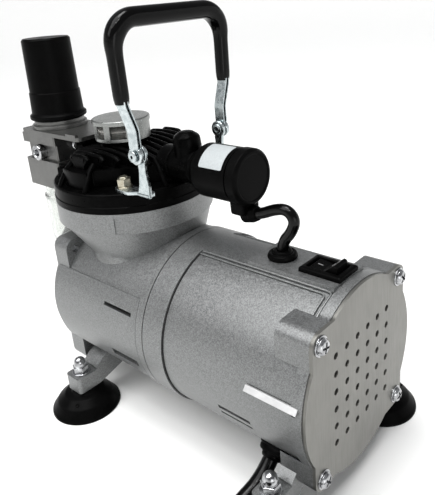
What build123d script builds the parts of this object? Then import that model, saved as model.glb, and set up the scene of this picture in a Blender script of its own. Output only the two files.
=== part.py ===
from build123d import *
import os
from math import cos, pi, radians, sin, sqrt, tan

# A small oil-less piston compressor for airbrushes, in millimetres.
# It is laid out from the motor axis, where that axis meets the vent plate's outer face:
# +Y runs along the axis to the air regulator, +Z is up, X is across.
# `save` moves each piece to the frame: origin on the bench, under the middle of the compressor.

# ---- driving dimensions ----
AXIS_H = 55.25          # motor axis above the bench
BODY_R = 44.0           # outside of the round housings
WALL = 3.5
PLATE_T = 1.5           # vent plate
JOINT_Y = 92.4          # where the two housings meet
GASKET_T = 0.5
COVER_Y = 165.5         # front cover's back face
COVER_T = 3.5
HEAD_Y = 138.8          # cylinder axis
FLANGE_Z = 61.0         # top of the crankcase's neck
FLANGE_R = 41.8
REG_Y = 202.0           # regulator's axis
REG_HALF = 16.6         # half the regulator block
OUTLET_TIP_Y = 234.5
SCREW_HEAD_H = 2.6
CRANK_THROW = 5.0
SLEEVE_R = 22.0         # cylinder bore
FOOT_X = 47.3
FOOT_YS = (15.5, 147.3)
CUP_R = 18.7
EAR_SCREW = 32.0        # housing screws sit at +-EAR_SCREW in X and Z
EAR_HALF = 37.5         # half the square whose corners are the screw ears
EAR_ROUND = 5.5
MID_Y = (OUTLET_TIP_Y - SCREW_HEAD_H) / 2
TURN_GAP = 0.05         # running clearance of a turning or sliding fit, radial

BOTTOM = (Align.CENTER, Align.CENTER, Align.MIN)
CORNERS = [(sx, sz) for sx in (-1, 1) for sz in (-1, 1)]
os.makedirs("parts", exist_ok=True)


# ---- small helpers ----
def save(name, shape):
    """Moves a piece from the layout above to the compressor's frame and writes it."""
    export_step(Pos(0, -MID_Y, AXIS_H) * shape, f"parts/{name}.step")


def cyl_z(r, h, x=0, y=0, z=0):
    return Pos(x, y, z) * Cylinder(r, h, align=BOTTOM)


def cyl_y(r, length, x=0, y=0, z=0):
    return Pos(x, y, z) * Rot(-90, 0, 0) * Cylinder(r, length, align=BOTTOM)


def cyl_x(r, length, x=0, y=0, z=0):
    return Pos(x, y, z) * Rot(0, 90, 0) * Cylinder(r, length, align=BOTTOM)


def block(low, high):
    """A box from its lowest corner to its highest."""
    size = [b - a for a, b in zip(low, high)]
    return Pos(*low) * Box(*size, align=(Align.MIN, Align.MIN, Align.MIN))


def turned_z(profile, x=0, y=0, z=0):
    """Turns an outline of (radius, height) points about a vertical axis."""
    face = make_face(Polyline(*[(r, 0, h) for r, h in profile], close=True))
    return Pos(x, y, z) * revolve(face, Axis.Z)


def turned_y(profile, x=0, y=0, z=0):
    """Turns an outline of (radius, distance along Y) points about a line along Y."""
    face = make_face(Polyline(*[(r, d, 0) for r, d in profile], close=True))
    return Pos(x, y, z) * revolve(face, Axis.Y)


def hex_z(across, h, x=0, y=0, z=0):
    """A hexagonal prism, given its size across flats."""
    return Pos(x, y, z) * extrude(RegularPolygon(across / sqrt(3), 6), h)


def hex_y(across, h, x=0, y=0, z=0):
    return Pos(x, y, z) * Rot(-90, 0, 0) * extrude(RegularPolygon(across / sqrt(3), 6), h)


def hex_x(across, h, x=0, y=0, z=0):
    return Pos(x, y, z) * Rot(0, 90, 0) * extrude(RegularPolygon(across / sqrt(3), 6), h)


def ear_outline(y, depth, round_r=BODY_R):
    """The round body with the corners of a rounded square, which carry the screws."""
    square = extrude(RectangleRounded(2 * EAR_HALF, 2 * EAR_HALF, EAR_ROUND), depth)
    return cyl_y(round_r, depth, y=y) + Pos(0, y, 0) * Rot(-90, 0, 0) * square


def ear_holes(r, y, depth):
    return [cyl_y(r, depth, sx * EAR_SCREW, y, sz * EAR_SCREW) for sx, sz in CORNERS]


def both_sides(shape):
    """The shape and its mirror image across the middle plane."""
    return [shape, mirror(shape, Plane.YZ)]


def side_sector(r_in, r_out, y0, y1, up, down):
    """A curved slab on the -X side, between two angles from the horizontal."""
    reach = r_out * 2
    ring = cyl_y(r_out, y1 - y0, y=y0) - cyl_y(r_in, y1 - y0, y=y0)
    wedge_points = [(0, y0, 0)]
    for step in range(5):
        a = radians(up + (down - up) * step / 4)
        wedge_points.append((-reach * cos(a), y0, reach * sin(a)))
    wedge = extrude(make_face(Polyline(*wedge_points, close=True)), y1 - y0, dir=(0, 1, 0))
    return ring & wedge


def side_slot(angle, y0, y1, height, r_in, r_out):
    """A radial slot through the -X side at an angle above the horizontal."""
    slab = block((r_in, y0, -height / 2), (r_out, y1, height / 2))
    return Rot(0, 180 + angle, 0) * slab


def side_pocket(angle, y0, y1, height, deep):
    """A blind pocket on the -X side whose floor slopes out to the lower edge."""
    skin = BODY_R - PANEL_DEPTH
    outline = [(skin - deep, height / 2), (skin + 5, height / 2), (skin + 5, -height / 2), (skin, -height / 2)]
    points = [(-r, y0, h) for r, h in outline]
    wedge = extrude(make_face(Polyline(*points, close=True)), y1 - y0, dir=(0, 1, 0))
    return Rot(0, angle, 0) * wedge


# ---- housings ----
EAR_DEPTH = 16.0
PANEL_DEPTH = 0.9
PANEL_YS = (6.5, 79.3)
PANEL_UP = 75.0
PANEL_DOWN = -62.0
PAD_HALF = 11.4
PAD_Z = 44.6
LEG_W = 12.0
LEG_PAD_Z = (-43.6, -34.6)
LEG_PAD_X = 53.5
STUD_R = 2.4
SWITCH_YS = (6.2, 26.6)
GROMMET_Y = 40.0
GROMMET_HOLE_R = 4.6
RELIEF_Y = 25.0
RELIEF_ANGLE = -44.0
RELIEF_HOLE = (11.0, 8.4)     # along Y, across
RELIEF_SEAT_R = BODY_R - PANEL_DEPTH - 0.4
RELIEF_FLANGE = (11.5, 14.5)  # across, along Y
SCREW_R = 2.0
POCKET = (8.5, 4.4, 29.5, 3.4)      # angle above the horizontal, two Y's and height
POCKET_DEPTH = 1.9
HOUSING_SLOTS = [(-17.0, 29.8, 47.6, 2.2), (-22.5, 29.8, 47.6, 1.6)]
CASE_SLOTS = [(19.0, 101.6, 122.4, 2.0), (-17.5, 101.0, 121.0, 4.2)]


def leg(y):
    """A cast arm from the body to the pad over a suction cup, on the -X side."""
    bottom, top = LEG_PAD_Z
    outline = [
        (-LEG_PAD_X, bottom), (-LEG_PAD_X, top), (-41.1, top), (-41.1, -33.4),
        (-36.8, -29.8), (-33.0, -28.2), (-20.0, -36.0), (-22.0, -38.6), (-40.0, bottom),
    ]
    points = [(x, y - LEG_W / 2, z) for x, z in outline]
    arm = extrude(make_face(Polyline(*points, close=True)), LEG_W, dir=(0, 1, 0))
    outer = arm.edges().filter_by(Axis.Z).group_by(Axis.X)[0]
    return fillet(outer, 2.0)


def legs(y):
    return both_sides(leg(y))


def stud_holes(y):
    bottom, top = LEG_PAD_Z
    return [cyl_z(STUD_R + 0.05, top - bottom + 2, sx * FOOT_X, y, bottom - 1) for sx in (-1, 1)]


def relief_frame():
    """At the cord's exit on the lower -X side, +Z pointing straight out of the housing."""
    a = radians(RELIEF_ANGLE)
    spot = Pos(-RELIEF_SEAT_R * cos(a), RELIEF_Y, RELIEF_SEAT_R * sin(a))
    return spot * Rot(0, -(90 - RELIEF_ANGLE), 0)


def rear_housing():
    body = ear_outline(PLATE_T, EAR_DEPTH) + cyl_y(BODY_R, JOINT_Y - PLATE_T, y=PLATE_T)
    panel = side_sector(BODY_R - PANEL_DEPTH, BODY_R + 2, *PANEL_YS, PANEL_UP, PANEL_DOWN)
    keep = ear_outline(PLATE_T, EAR_DEPTH) - cyl_y(BODY_R, EAR_DEPTH, y=PLATE_T)
    body = body - both_sides(panel) + keep
    body += block((-PAD_HALF, 6.5, 38), (PAD_HALF, 51.0, PAD_Z))
    body += legs(FOOT_YS[0])
    body -= cyl_y(BODY_R - WALL, JOINT_Y, y=0)
    body -= both_sides(side_pocket(*POCKET, POCKET_DEPTH))
    for angle, y0, y1, height in HOUSING_SLOTS:
        body -= both_sides(side_slot(angle, y0, y1, height, 30, 50))
    body -= block((-6.4, SWITCH_YS[0] + 1.4, 30), (6.4, SWITCH_YS[1] - 1.4, 50))
    body -= cyl_z(GROMMET_HOLE_R, 20, 0, GROMMET_Y, 35)
    across, along = RELIEF_FLANGE
    body -= relief_frame() * Box(RELIEF_HOLE[1], RELIEF_HOLE[0], 20)
    body -= relief_frame() * Box(across + 0.2, along + 0.2, 10, align=BOTTOM)
    body -= ear_holes(SCREW_R, PLATE_T, 12)
    body -= stud_holes(FOOT_YS[0])
    return body


def crank_cover():
    body = ear_outline(COVER_Y, COVER_T, BODY_R - 0.8)
    front = body.edges().group_by(Axis.Y)[-1]
    body = fillet(front, 1.4)
    return body - neck() - ear_holes(SCREW_R + 0.1, COVER_Y, COVER_T)


NECK_BASE_Y = 132.6
NECK_BASE_R = 31.5
NECK_BASE_Z = 34.0
BAND_Z = 50.5
CASE_R = BODY_R - 0.8
SLEEVE_OUT_R = 26.0
BOLT_XY = 25.5
BOLT_R = 2.0
BOLT_END_Z = 52.0


def neck():
    """The crankcase's flared neck, from a circle on the body to the band under the head."""
    low = Pos(0, NECK_BASE_Y, 22) * Circle(NECK_BASE_R)
    mid = Pos(0, NECK_BASE_Y, NECK_BASE_Z) * Circle(NECK_BASE_R)
    high = Pos(0, HEAD_Y, BAND_Z) * Circle(FLANGE_R - 0.8)
    band = cyl_z(FLANGE_R, FLANGE_Z - BAND_Z, 0, HEAD_Y, BAND_Z)
    notch = Pos(0, HEAD_Y, 0) * Rot(0, 0, 221) * block((FLANGE_R - 1.0, -4, BAND_Z), (50, 4, FLANGE_Z - 2))
    return extrude(low, NECK_BASE_Z - 22) + loft([mid, high]) + (band - notch)


def front_crankcase():
    y0 = JOINT_Y + GASKET_T
    length = COVER_Y - y0
    body = cyl_y(BODY_R, 4.6, y=y0) + cyl_y(CASE_R, length, y=y0)
    body += both_sides(side_sector(CASE_R - 1, BODY_R, 97.7, COVER_Y, 31, -28))
    body += ear_outline(COVER_Y - 9, 9, CASE_R)
    body += neck()
    body += legs(FOOT_YS[1])
    body -= cyl_y(BODY_R - WALL, length, y=y0)
    body -= cyl_z(SLEEVE_OUT_R, FLANGE_Z, 0, HEAD_Y, 10)
    for angle, y_start, y_end, height in CASE_SLOTS:
        body -= both_sides(side_slot(angle, y_start, y_end, height, 30, 50))
    body -= ear_holes(SCREW_R, COVER_Y - 9, 9)
    body -= stud_holes(FOOT_YS[1])
    for sx, sy in CORNERS:
        body -= cyl_z(BOLT_R, FLANGE_Z - BOLT_END_Z, sx * BOLT_XY, HEAD_Y + sy * BOLT_XY, BOLT_END_Z)
    return body


def housing_gasket():
    ring = cyl_y(BODY_R - 0.3, GASKET_T, y=JOINT_Y)
    return ring - cyl_y(BODY_R - WALL, GASKET_T, y=JOINT_Y)


# ---- vent plate and screws ----
VENT_PITCH = 8.5
VENT_R = 1.5
VENT_COUNT = 6


def vent_plate():
    plate = ear_outline(0, PLATE_T, BODY_R - 0.5)
    first = -VENT_PITCH * (VENT_COUNT - 1) / 2
    for column in range(VENT_COUNT):
        for row in range(VENT_COUNT):
            x, z = first + column * VENT_PITCH, first + row * VENT_PITCH
            plate -= cyl_y(VENT_R, PLATE_T, x, 0, z)
    return plate - ear_holes(SCREW_R + 0.1, 0, PLATE_T)


def pan_screw(x, z, y, facing, length):
    """A cross-head screw with its head's back face at y; facing is the way its head looks."""
    head = turned_y([(0, 0), (4.3, 0), (4.3, 1.3), (2.8, SCREW_HEAD_H), (0, SCREW_HEAD_H)])
    for turn in (45, 135):
        head -= Rot(0, turn, 0) * block((-2.4, 1.2, -0.45), (2.4, 3, 0.45))
    shank = cyl_y(SCREW_R, length, y=-length)
    return Pos(x, y, z) * (Rot(0, 0, 0) if facing > 0 else Rot(0, 0, 180)) * (head + shank)


def housing_screws():
    rear = [pan_screw(sx * EAR_SCREW, sz * EAR_SCREW, 0, -1, 11) for sx, sz in CORNERS]
    cover_face = COVER_Y + COVER_T
    front = [pan_screw(sx * EAR_SCREW, sz * EAR_SCREW, cover_face, 1, 11) for sx, sz in CORNERS]
    return Compound(rear + front)


# ---- switch ----
ROCK_Y = sum(SWITCH_YS) / 2
BEZEL_TOP = 46.9
ROCKER_AXIS_Z = 44.5


def switch_bezel():
    half_y = (SWITCH_YS[1] - SWITCH_YS[0]) / 2
    frame = block((-7.5, SWITCH_YS[0], PAD_Z), (7.5, SWITCH_YS[1], BEZEL_TOP))
    frame = chamfer(frame.edges().group_by(Axis.Z)[-1], 0.7)
    case = block((-6.2, SWITCH_YS[0] + 1.6, 31), (6.2, SWITCH_YS[1] - 1.6, PAD_Z))
    well = block((-5.0, ROCK_Y - half_y + 2.3, 34.5), (5.0, ROCK_Y + half_y - 2.3, 50))
    lugs = [cyl_x(1.0, 1.6, side * 4.3 - 0.8, ROCK_Y, ROCKER_AXIS_Z) for side in (-1, 1)]
    return frame + case - well + lugs


def rocker():
    """The rocker: two shallow ramps that meet over its axle, the -Y end standing up."""
    outline = [
        (-6.6, 49.4), (-5.0, 49.8), (0.0, 45.9), (6.8, 46.5), (6.8, 42.4), (2.8, 40.2), (-2.8, 40.2), (-6.6, 43.2),
    ]
    points = [(-4.6, ROCK_Y + dy, z) for dy, z in outline]
    key = extrude(make_face(Polyline(*points, close=True)), 9.2, dir=(1, 0, 0))
    return key - cyl_x(1.0 + TURN_GAP, 12, -6, ROCK_Y, ROCKER_AXIS_Z)


# ---- lead to the pressure switch ----
LEAD_R = 2.6
LEAD_POINTS = [
    (0, 57.0, 61.6), (0, 50.5, 63.2), (0, 43.5, 66.6), (0, 36.4, 68.2), (0, 32.2, 63.6),
    (0, 35.0, 57.2), (0, 39.2, 52.6), (0, GROMMET_Y, 47.6),
]


def arc_radii(points, share=0.45):
    """The largest arc that each corner of a route leaves room for."""
    radii = []
    for before, here, after in zip(points, points[1:], points[2:]):
        run_in = Vector(*here) - Vector(*before)
        run_out = Vector(*after) - Vector(*here)
        half_turn = radians(run_in.get_angle(run_out)) / 2
        radii.append(share * min(run_in.length, run_out.length) / tan(half_turn))
    return radii


def route_tube(points, r, name):
    """A round tube of straight runs joined by tangent arcs."""
    radii = arc_radii(points)
    path = FilletPolyline(*points, radius=radii)
    start = Plane(origin=path @ 0, z_dir=path % 0)
    tube = sweep(start * Circle(r), path=path)
    exact = pi * r * r * path.length
    print(f"{name}: length {path.length:.1f}, volume/exact {tube.volume / exact:.4f}, radii",
          [round(v, 1) for v in radii])
    return tube


def lead_grommet():
    profile = [
        (2.7, 37.0), (6.2, 37.0), (6.2, 39.4), (GROMMET_HOLE_R - 0.1, 39.4), (GROMMET_HOLE_R - 0.1, PAD_Z),
        (6.9, PAD_Z), (6.9, 46.2), (5.6, 47.6), (2.7, 47.6),
    ]
    return turned_z(profile, 0, GROMMET_Y)


# ---- pressure switch ----
SWITCH_AXIS_Z = 79.5
SWITCH_R = 12.8
CAP_Y = 54.0
CAP_END_Y = 64.5
BODY_END_Y = 84.5
ELBOW_Y = 87.2
ELBOW_END_Y = 101.2


def pressure_switch_cap():
    length = CAP_END_Y - CAP_Y
    shell = turned_y([
        (0, 0), (SWITCH_R - 1.6, 0), (SWITCH_R + 0.4, 2.0), (SWITCH_R + 0.4, length),
        (SWITCH_R - 2.4, length), (SWITCH_R - 2.4, 2.4), (0, 2.4),
    ], y=CAP_Y, z=SWITCH_AXIS_Z)
    boss = cyl_y(6.0, CAP_END_Y - 57.0, 0, 57.0, 62.2) & block((-7, 54, 55), (7, 70, 68.6))
    shell += boss + block((-6, 57, 62.2), (6, CAP_END_Y, 68.8))
    return shell - cyl_y(LEAD_R, 5, 0, 54, 61.6)


def pressure_switch_body():
    return turned_y([
        (0, CAP_END_Y), (SWITCH_R, CAP_END_Y), (SWITCH_R, 80.5), (SWITCH_R - 2.6, BODY_END_Y),
        (9.0, BODY_END_Y), (8.6, ELBOW_Y), (4.0, ELBOW_Y), (4.0, 70.0), (0, 70.0),
    ], z=SWITCH_AXIS_Z)


def switch_label():
    ring = cyl_y(SWITCH_R + 0.15, 18, y=66.6, z=SWITCH_AXIS_Z) - cyl_y(SWITCH_R, 18, y=66.6, z=SWITCH_AXIS_Z)
    window = block((-20, 60, 82.0), (-1.0, 90, 100))
    return ring & window


def switch_elbow():
    """The black port fitting that carries the pressure switch on the head."""
    barrel = cyl_y(8.6, ELBOW_END_Y - ELBOW_Y, 0, ELBOW_Y, SWITCH_AXIS_Z)
    dome_y = (ELBOW_Y + ELBOW_END_Y) / 2
    dome_r = (ELBOW_END_Y - ELBOW_Y) / 2 - 0.5
    dome = turned_z([(0, 79.5), (dome_r, 79.5), (dome_r, 91.5), (5.8, 94.8), (3.0, 96.4), (0, 96.9)], 0, dome_y)
    return barrel + dome - cyl_y(3.5, 20, 0, ELBOW_Y - 1, SWITCH_AXIS_Z)


# ---- cylinder head ----
VALVE_T = 3.0
HEAD_FLANGE_TOP = 71.0
HEAD_DECK = 80.0
HEAD_TOP = 87.0
DRUM_R = 37.4
FIN_PITCH = 5.2
FIN_T = 2.4
FINS_EACH_SIDE = 6
RECESS_AT = 27.4          # the bolt recesses' flat backs, from the head's middle
RECESS_HALF = 16.5
INTAKE_BOSS_R = 12.5
PORT_BOSS_L = 8.0
VALVE_PLATE_R = 33.0
CHAMBER_R = 20.0
FILTER_Z = (88.6, 99.6)
BRACKET_T = 1.8
BOLT_WASHER_R = 3.8
BOLT_WASHER_T = 1.0
BOLT_HEX = 6.2
BOLT_HEX_T = 4.6
CAP_CENTRE_Y = 143.0


def cylinder_head():
    body = cyl_z(FLANGE_R, HEAD_FLANGE_TOP - FLANGE_Z, 0, HEAD_Y, FLANGE_Z)
    body = fillet(body.edges().group_by(Axis.Z)[-1], 1.0)
    drum = cyl_z(DRUM_R, HEAD_DECK - HEAD_FLANGE_TOP, 0, HEAD_Y, HEAD_FLANGE_TOP)
    reach = 34.0
    rise = HEAD_TOP - HEAD_DECK
    crown_r = (reach * reach + rise * rise) / (2 * rise)
    crown = cyl_x(crown_r, 100, -50, HEAD_Y, HEAD_TOP - crown_r)
    for fin in range(-FINS_EACH_SIDE, FINS_EACH_SIDE + 1):
        x = fin * FIN_PITCH
        half = sqrt((DRUM_R - 1.5) ** 2 - x * x)
        plate = block((x - FIN_T / 2, HEAD_Y - half, HEAD_DECK), (x + FIN_T / 2, HEAD_Y + half, HEAD_TOP))
        drum += plate & crown
    for corner in range(4):
        turned = Pos(0, HEAD_Y, HEAD_FLANGE_TOP) * Rot(0, 0, 45 + 90 * corner)
        drum -= turned * block((RECESS_AT, -RECESS_HALF, 0), (50, RECESS_HALF, 30))
    drum += cyl_z(INTAKE_BOSS_R, FILTER_Z[0] - HEAD_FLANGE_TOP, 0, CAP_CENTRE_Y, HEAD_FLANGE_TOP)
    drum += cyl_y(8.9, PORT_BOSS_L, 0, ELBOW_END_Y, SWITCH_AXIS_Z)
    drum += cyl_y(7.5, PORT_BOSS_L, 0, 170.0, SWITCH_AXIS_Z)
    body += drum
    body -= cyl_z(VALVE_PLATE_R + 0.1, VALVE_T, 0, HEAD_Y, FLANGE_Z)
    body -= cyl_z(CHAMBER_R, 12, 0, HEAD_Y, FLANGE_Z + VALVE_T)
    body -= cyl_z(4.0, 30, 0, CAP_CENTRE_Y, FLANGE_Z + VALVE_T)
    for sx, sy in CORNERS:
        body -= cyl_z(BOLT_R, 12, sx * BOLT_XY, HEAD_Y + sy * BOLT_XY, FLANGE_Z)
    return body


def valve_plate():
    plate = cyl_z(VALVE_PLATE_R, VALVE_T, 0, HEAD_Y, FLANGE_Z)
    for dx in (-8, 8):
        plate -= [cyl_z(2.0, VALVE_T, dx, HEAD_Y + dy, FLANGE_Z) for dy in (-5, 5)]
    return plate


def reed_valves():
    """Thin steel reeds, one on top of the valve plate's delivery holes and one below."""
    above = block((-11, HEAD_Y - 8, FLANGE_Z + VALVE_T), (-5, HEAD_Y + 12, FLANGE_Z + VALVE_T + 0.3))
    below = block((5, HEAD_Y - 8, FLANGE_Z - 0.3), (11, HEAD_Y + 12, FLANGE_Z))
    return Compound([above, below])


def head_bolts():
    bolts = []
    for sx, sy in CORNERS:
        seat = HEAD_FLANGE_TOP + (BRACKET_T if sy < 0 else 0)
        x, y = sx * BOLT_XY, HEAD_Y + sy * BOLT_XY
        shank = cyl_z(BOLT_R, seat - BOLT_END_Z, x, y, BOLT_END_Z)
        washer = cyl_z(BOLT_WASHER_R, BOLT_WASHER_T, x, y, seat)
        bolts.append(shank + washer + hex_z(BOLT_HEX, BOLT_HEX_T, x, y, seat + BOLT_WASHER_T))
    return Compound(bolts)


def intake_cap():
    """Pressed cap of the intake filter: base ring, posts, a stretch of wall and a flat lid."""
    low, top = FILTER_Z
    base = cyl_z(14.5, 1.6, 0, CAP_CENTRE_Y, low)
    lid = fillet(cyl_z(15.3, 2.4, 0, CAP_CENTRE_Y, top - 2.4).edges().group_by(Axis.Z)[-1], 0.8)
    skirt = cyl_z(14.8, top - low - 2, 0, CAP_CENTRE_Y, low) - cyl_z(13.2, 20, 0, CAP_CENTRE_Y, low - 1)
    wall = skirt & (Pos(0, CAP_CENTRE_Y, low) * Rot(0, 0, -55) * block((0, -12, 0), (20, 12, 11)))
    posts = [
        skirt & (Pos(0, CAP_CENTRE_Y, low) * Rot(0, 0, a) * block((10, -1.8, 0), (20, 1.8, 11)))
        for a in (60, 130, 200)
    ]
    return base + lid + wall + posts


def intake_felt():
    low, top = FILTER_Z
    return cyl_z(12.6, top - low - 4.0, 0, CAP_CENTRE_Y, low + 1.6)


# ---- carrying handle ----
PIVOT_Y = 97.4
PIVOT_Z = 91.4
PIN_R = 1.6
BRACKET_EYE_X = 26.0
STRIP_X = 28.6
STRIP_W = 6.0
GRIP_Z = 150.4
GRIP_LEG_X = 33.2
GRIP_R = 4.3
GRIP_LEG_R = 3.3
GRIP_CORNER = 12.0
GRIP_LEAN = 0.7           # how much closer together the legs stand where the sleeve ends
SLEEVE_Z = 115.5
STRIP_T = 2.4
KNEE_Z = 103.0
EYE_R = 4.3
RIVET_R = 2.8
RIVET_T = 0.8


def handle_bracket():
    """A zinc-plated strip: flat under a head bolt, upright to the hinge eye."""
    foot = block((-29.5, PIVOT_Y - 1.5, HEAD_FLANGE_TOP), (-21.5, HEAD_Y - BOLT_XY + 4.6, HEAD_FLANGE_TOP + BRACKET_T))
    x0 = -BRACKET_EYE_X - BRACKET_T / 2
    outline = [(-3.6, 71.0), (3.9, 71.0), (2.2, 82.0), (3.0, 89.0), (-3.0, 89.0), (-3.4, 82.0)]
    points = [(x0, PIVOT_Y + dy, z) for dy, z in outline]
    upright = extrude(make_face(Polyline(*points, close=True)), BRACKET_T, dir=(1, 0, 0))
    eye = cyl_x(EYE_R - 0.1, BRACKET_T, x0, PIVOT_Y, PIVOT_Z)
    part = foot + upright + eye
    part -= cyl_x(PIN_R, 6, x0 - 2, PIVOT_Y, PIVOT_Z)
    return part - cyl_z(BOLT_R, 6, -BOLT_XY, HEAD_Y - BOLT_XY, 69)


def handle_pin():
    """The hinge rivet, headed at both ends."""
    inner_face = -BRACKET_EYE_X + BRACKET_T / 2
    outer_end = -STRIP_X - STRIP_T / 2 - 1.0 - RIVET_T
    shank = cyl_x(PIN_R, inner_face + RIVET_T - outer_end, outer_end, PIVOT_Y, PIVOT_Z)
    inner = cyl_x(RIVET_R, RIVET_T, inner_face, PIVOT_Y, PIVOT_Z)
    outer = cyl_x(RIVET_R, RIVET_T, outer_end, PIVOT_Y, PIVOT_Z)
    return shank + inner + outer


def loop_path(low_z):
    """The handle's centre line, from low_z up one leg, across and down the other."""
    low_x = GRIP_LEG_X - GRIP_LEAN
    return FilletPolyline(
        (-low_x, PIVOT_Y, low_z), (-GRIP_LEG_X, PIVOT_Y, GRIP_Z),
        (GRIP_LEG_X, PIVOT_Y, GRIP_Z), (low_x, PIVOT_Y, low_z), radius=GRIP_CORNER,
    )


def handle_frame():
    """Flat steel strip: hinge eyes, joggled legs and the bar inside the sleeve."""
    bar_path = loop_path(SLEEVE_Z)
    bar = sweep(Plane(origin=bar_path @ 0, z_dir=bar_path % 0) * Rectangle(STRIP_T, 4.4), path=bar_path)
    half_t = STRIP_T / 2
    top_x = -GRIP_LEG_X + GRIP_LEAN
    leg_outline = [
        (-STRIP_X - half_t, PIVOT_Z), (-STRIP_X - half_t, KNEE_Z), (top_x - half_t, SLEEVE_Z),
        (top_x + half_t, SLEEVE_Z), (-STRIP_X + half_t, KNEE_Z - 0.6), (-STRIP_X + half_t, PIVOT_Z),
    ]
    points = [(x, PIVOT_Y - STRIP_W / 2, z) for x, z in leg_outline]
    side = extrude(make_face(Polyline(*points, close=True)), STRIP_W, dir=(0, 1, 0))
    side += cyl_x(EYE_R, STRIP_T, -STRIP_X - half_t, PIVOT_Y, PIVOT_Z)
    side -= cyl_x(PIN_R + TURN_GAP, STRIP_T + 2, -STRIP_X - half_t - 1, PIVOT_Y, PIVOT_Z)
    return bar + both_sides(side)


def handle_grip():
    """Soft sleeve over the handle: slim down the legs, thicker across the top."""
    path = loop_path(SLEEVE_Z)
    start = Plane(origin=path @ 0, z_dir=path % 0)
    sleeve = sweep(start * Circle(GRIP_LEG_R), path=path)
    straight = GRIP_LEG_X - GRIP_CORNER
    sleeve += cyl_x(GRIP_R, 2 * straight, -straight, PIVOT_Y, GRIP_Z)
    return sleeve - handle_frame()


# ---- regulator with water trap ----
BLOCK_Z = (55.0, 87.0)
WAIST_Z = (71.5, 81.5)
WAIST_CUT = 2.2
PLUG_Z = 76.5
NIPPLE_R = 4.2
NUT_TOP = 94.0
KNOB_Z = (94.6, 140.0)
SPINDLE_TOP = 128.0
SPOUT_R = 9.9             # the block's threaded neck under the knob
PORT_R = 3.0
SHEET_T = 2.2


def regulator_block():
    low, high = BLOCK_Z
    half, waist = REG_HALF, REG_HALF - WAIST_CUT
    body = block((-half, REG_Y - half, low), (half, REG_Y + half, WAIST_Z[0]))
    body += block((-waist, REG_Y - waist, WAIST_Z[0]), (waist, REG_Y + waist, WAIST_Z[1]))
    body += block((-half, REG_Y - half, WAIST_Z[1]), (half, REG_Y + half, high))
    body = chamfer(body.edges().filter_by(Axis.Z), 0.8)
    body += cyl_z(SPOUT_R, 112 - high, 0, REG_Y, high)
    body -= cyl_z(7.0, 60, 0, REG_Y, 66)
    body -= cyl_y(PORT_R, REG_HALF, 0, REG_Y - REG_HALF, SWITCH_AXIS_Z)
    body -= cyl_y(NIPPLE_R, WAIST_CUT, 0, REG_Y - REG_HALF, SWITCH_AXIS_Z)
    body -= cyl_y(PORT_R, REG_HALF, 0, REG_Y, OUTLET_Z)
    body -= cyl_x(PORT_R, REG_HALF, -REG_HALF, REG_Y, PLUG_Z)
    return body - cyl_x(PORT_R, REG_HALF, 0, REG_Y, GAUGE_Z)


def regulator_bracket():
    """Pressed plate clamped by the ring nut, reaching back over the head."""
    sheet = block((-REG_HALF, 160.5, BLOCK_Z[1]), (REG_HALF, REG_Y + REG_HALF, BLOCK_Z[1] + SHEET_T))
    sheet = fillet(sheet.edges().filter_by(Axis.Z), 3.0)
    sheet -= cyl_z(SPOUT_R + 0.1, 6, 0, REG_Y, BLOCK_Z[1] - 2)
    lug = block((-REG_HALF, 163.0, BLOCK_Z[1]), (-REG_HALF + 2, 172, BLOCK_Z[1] + 3.5))
    return sheet + lug


def ring_nut():
    base = BLOCK_Z[1] + SHEET_T
    nut = cyl_z(15.8, 2.2, 0, REG_Y, base) + cyl_z(14.4, NUT_TOP - base, 0, REG_Y, base)
    return nut - cyl_z(SPOUT_R, 8, 0, REG_Y, base - 1)


def regulator_knob():
    low, high = KNOB_Z
    shell = turned_z([
        (10.8, low), (16.25, low), (16.25, low + 2.6), (14.8, low + 3.2), (14.3, 110.0),
        (13.9, 110.4), (13.5, high - 1.2), (12.5, high), (0, high), (0, 116.0), (10.8, 116.0),
    ], 0, REG_Y)
    return shell - hex_z(10.2, 17.0, 0, REG_Y, 115)


def adjusting_screw():
    head = hex_z(10.0, SPINDLE_TOP - 113.0, 0, REG_Y, 113.0)
    return head + cyl_z(3.5, 28, 0, REG_Y, 85.0) + cyl_z(6.5, 2, 0, REG_Y, 84.0)


def regulator_spring():
    """Round-wire spring, drawn as the sleeve that its coils fill."""
    return cyl_z(6.4, 15.8, 0, REG_Y, 67) - cyl_z(4.2, 20, 0, REG_Y, 66)


def side_plug():
    face = REG_HALF - WAIST_CUT
    body = cyl_x(4.6, 4.6, -face - 4.6, REG_Y, PLUG_Z) + cyl_x(3.0, 4.0, -face, REG_Y, PLUG_Z)
    rim = body.edges().group_by(Axis.X)[0]
    return chamfer(rim, 0.5) - hex_x(4.0, 3.0, -face - 4.6, REG_Y, PLUG_Z)


def inlet_nipple():
    y0, y1 = 178.0, REG_Y - REG_HALF + WAIST_CUT
    pipe = cyl_y(NIPPLE_R, y1 - y0, 0, y0, SWITCH_AXIS_Z) + hex_y(10.0, 4.0, 0, y0 + 1.2, SWITCH_AXIS_Z)
    return pipe - cyl_y(2.0, 20, 0, y0 - 1, SWITCH_AXIS_Z)


OUTLET_Z = 63.5
THREAD_R = 4.86


def outlet_nipple():
    y0 = REG_Y + REG_HALF
    part = hex_y(13.0, 6.4, 0, y0, OUTLET_Z) + cyl_y(THREAD_R, OUTLET_TIP_Y - y0, 0, y0, OUTLET_Z)
    return part - cyl_y(2.2, 20, 0, y0 - 1, OUTLET_Z)


# ---- water trap ----
BOWL_TOP = BLOCK_Z[0]
BOWL_LOW = -4.0


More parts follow.
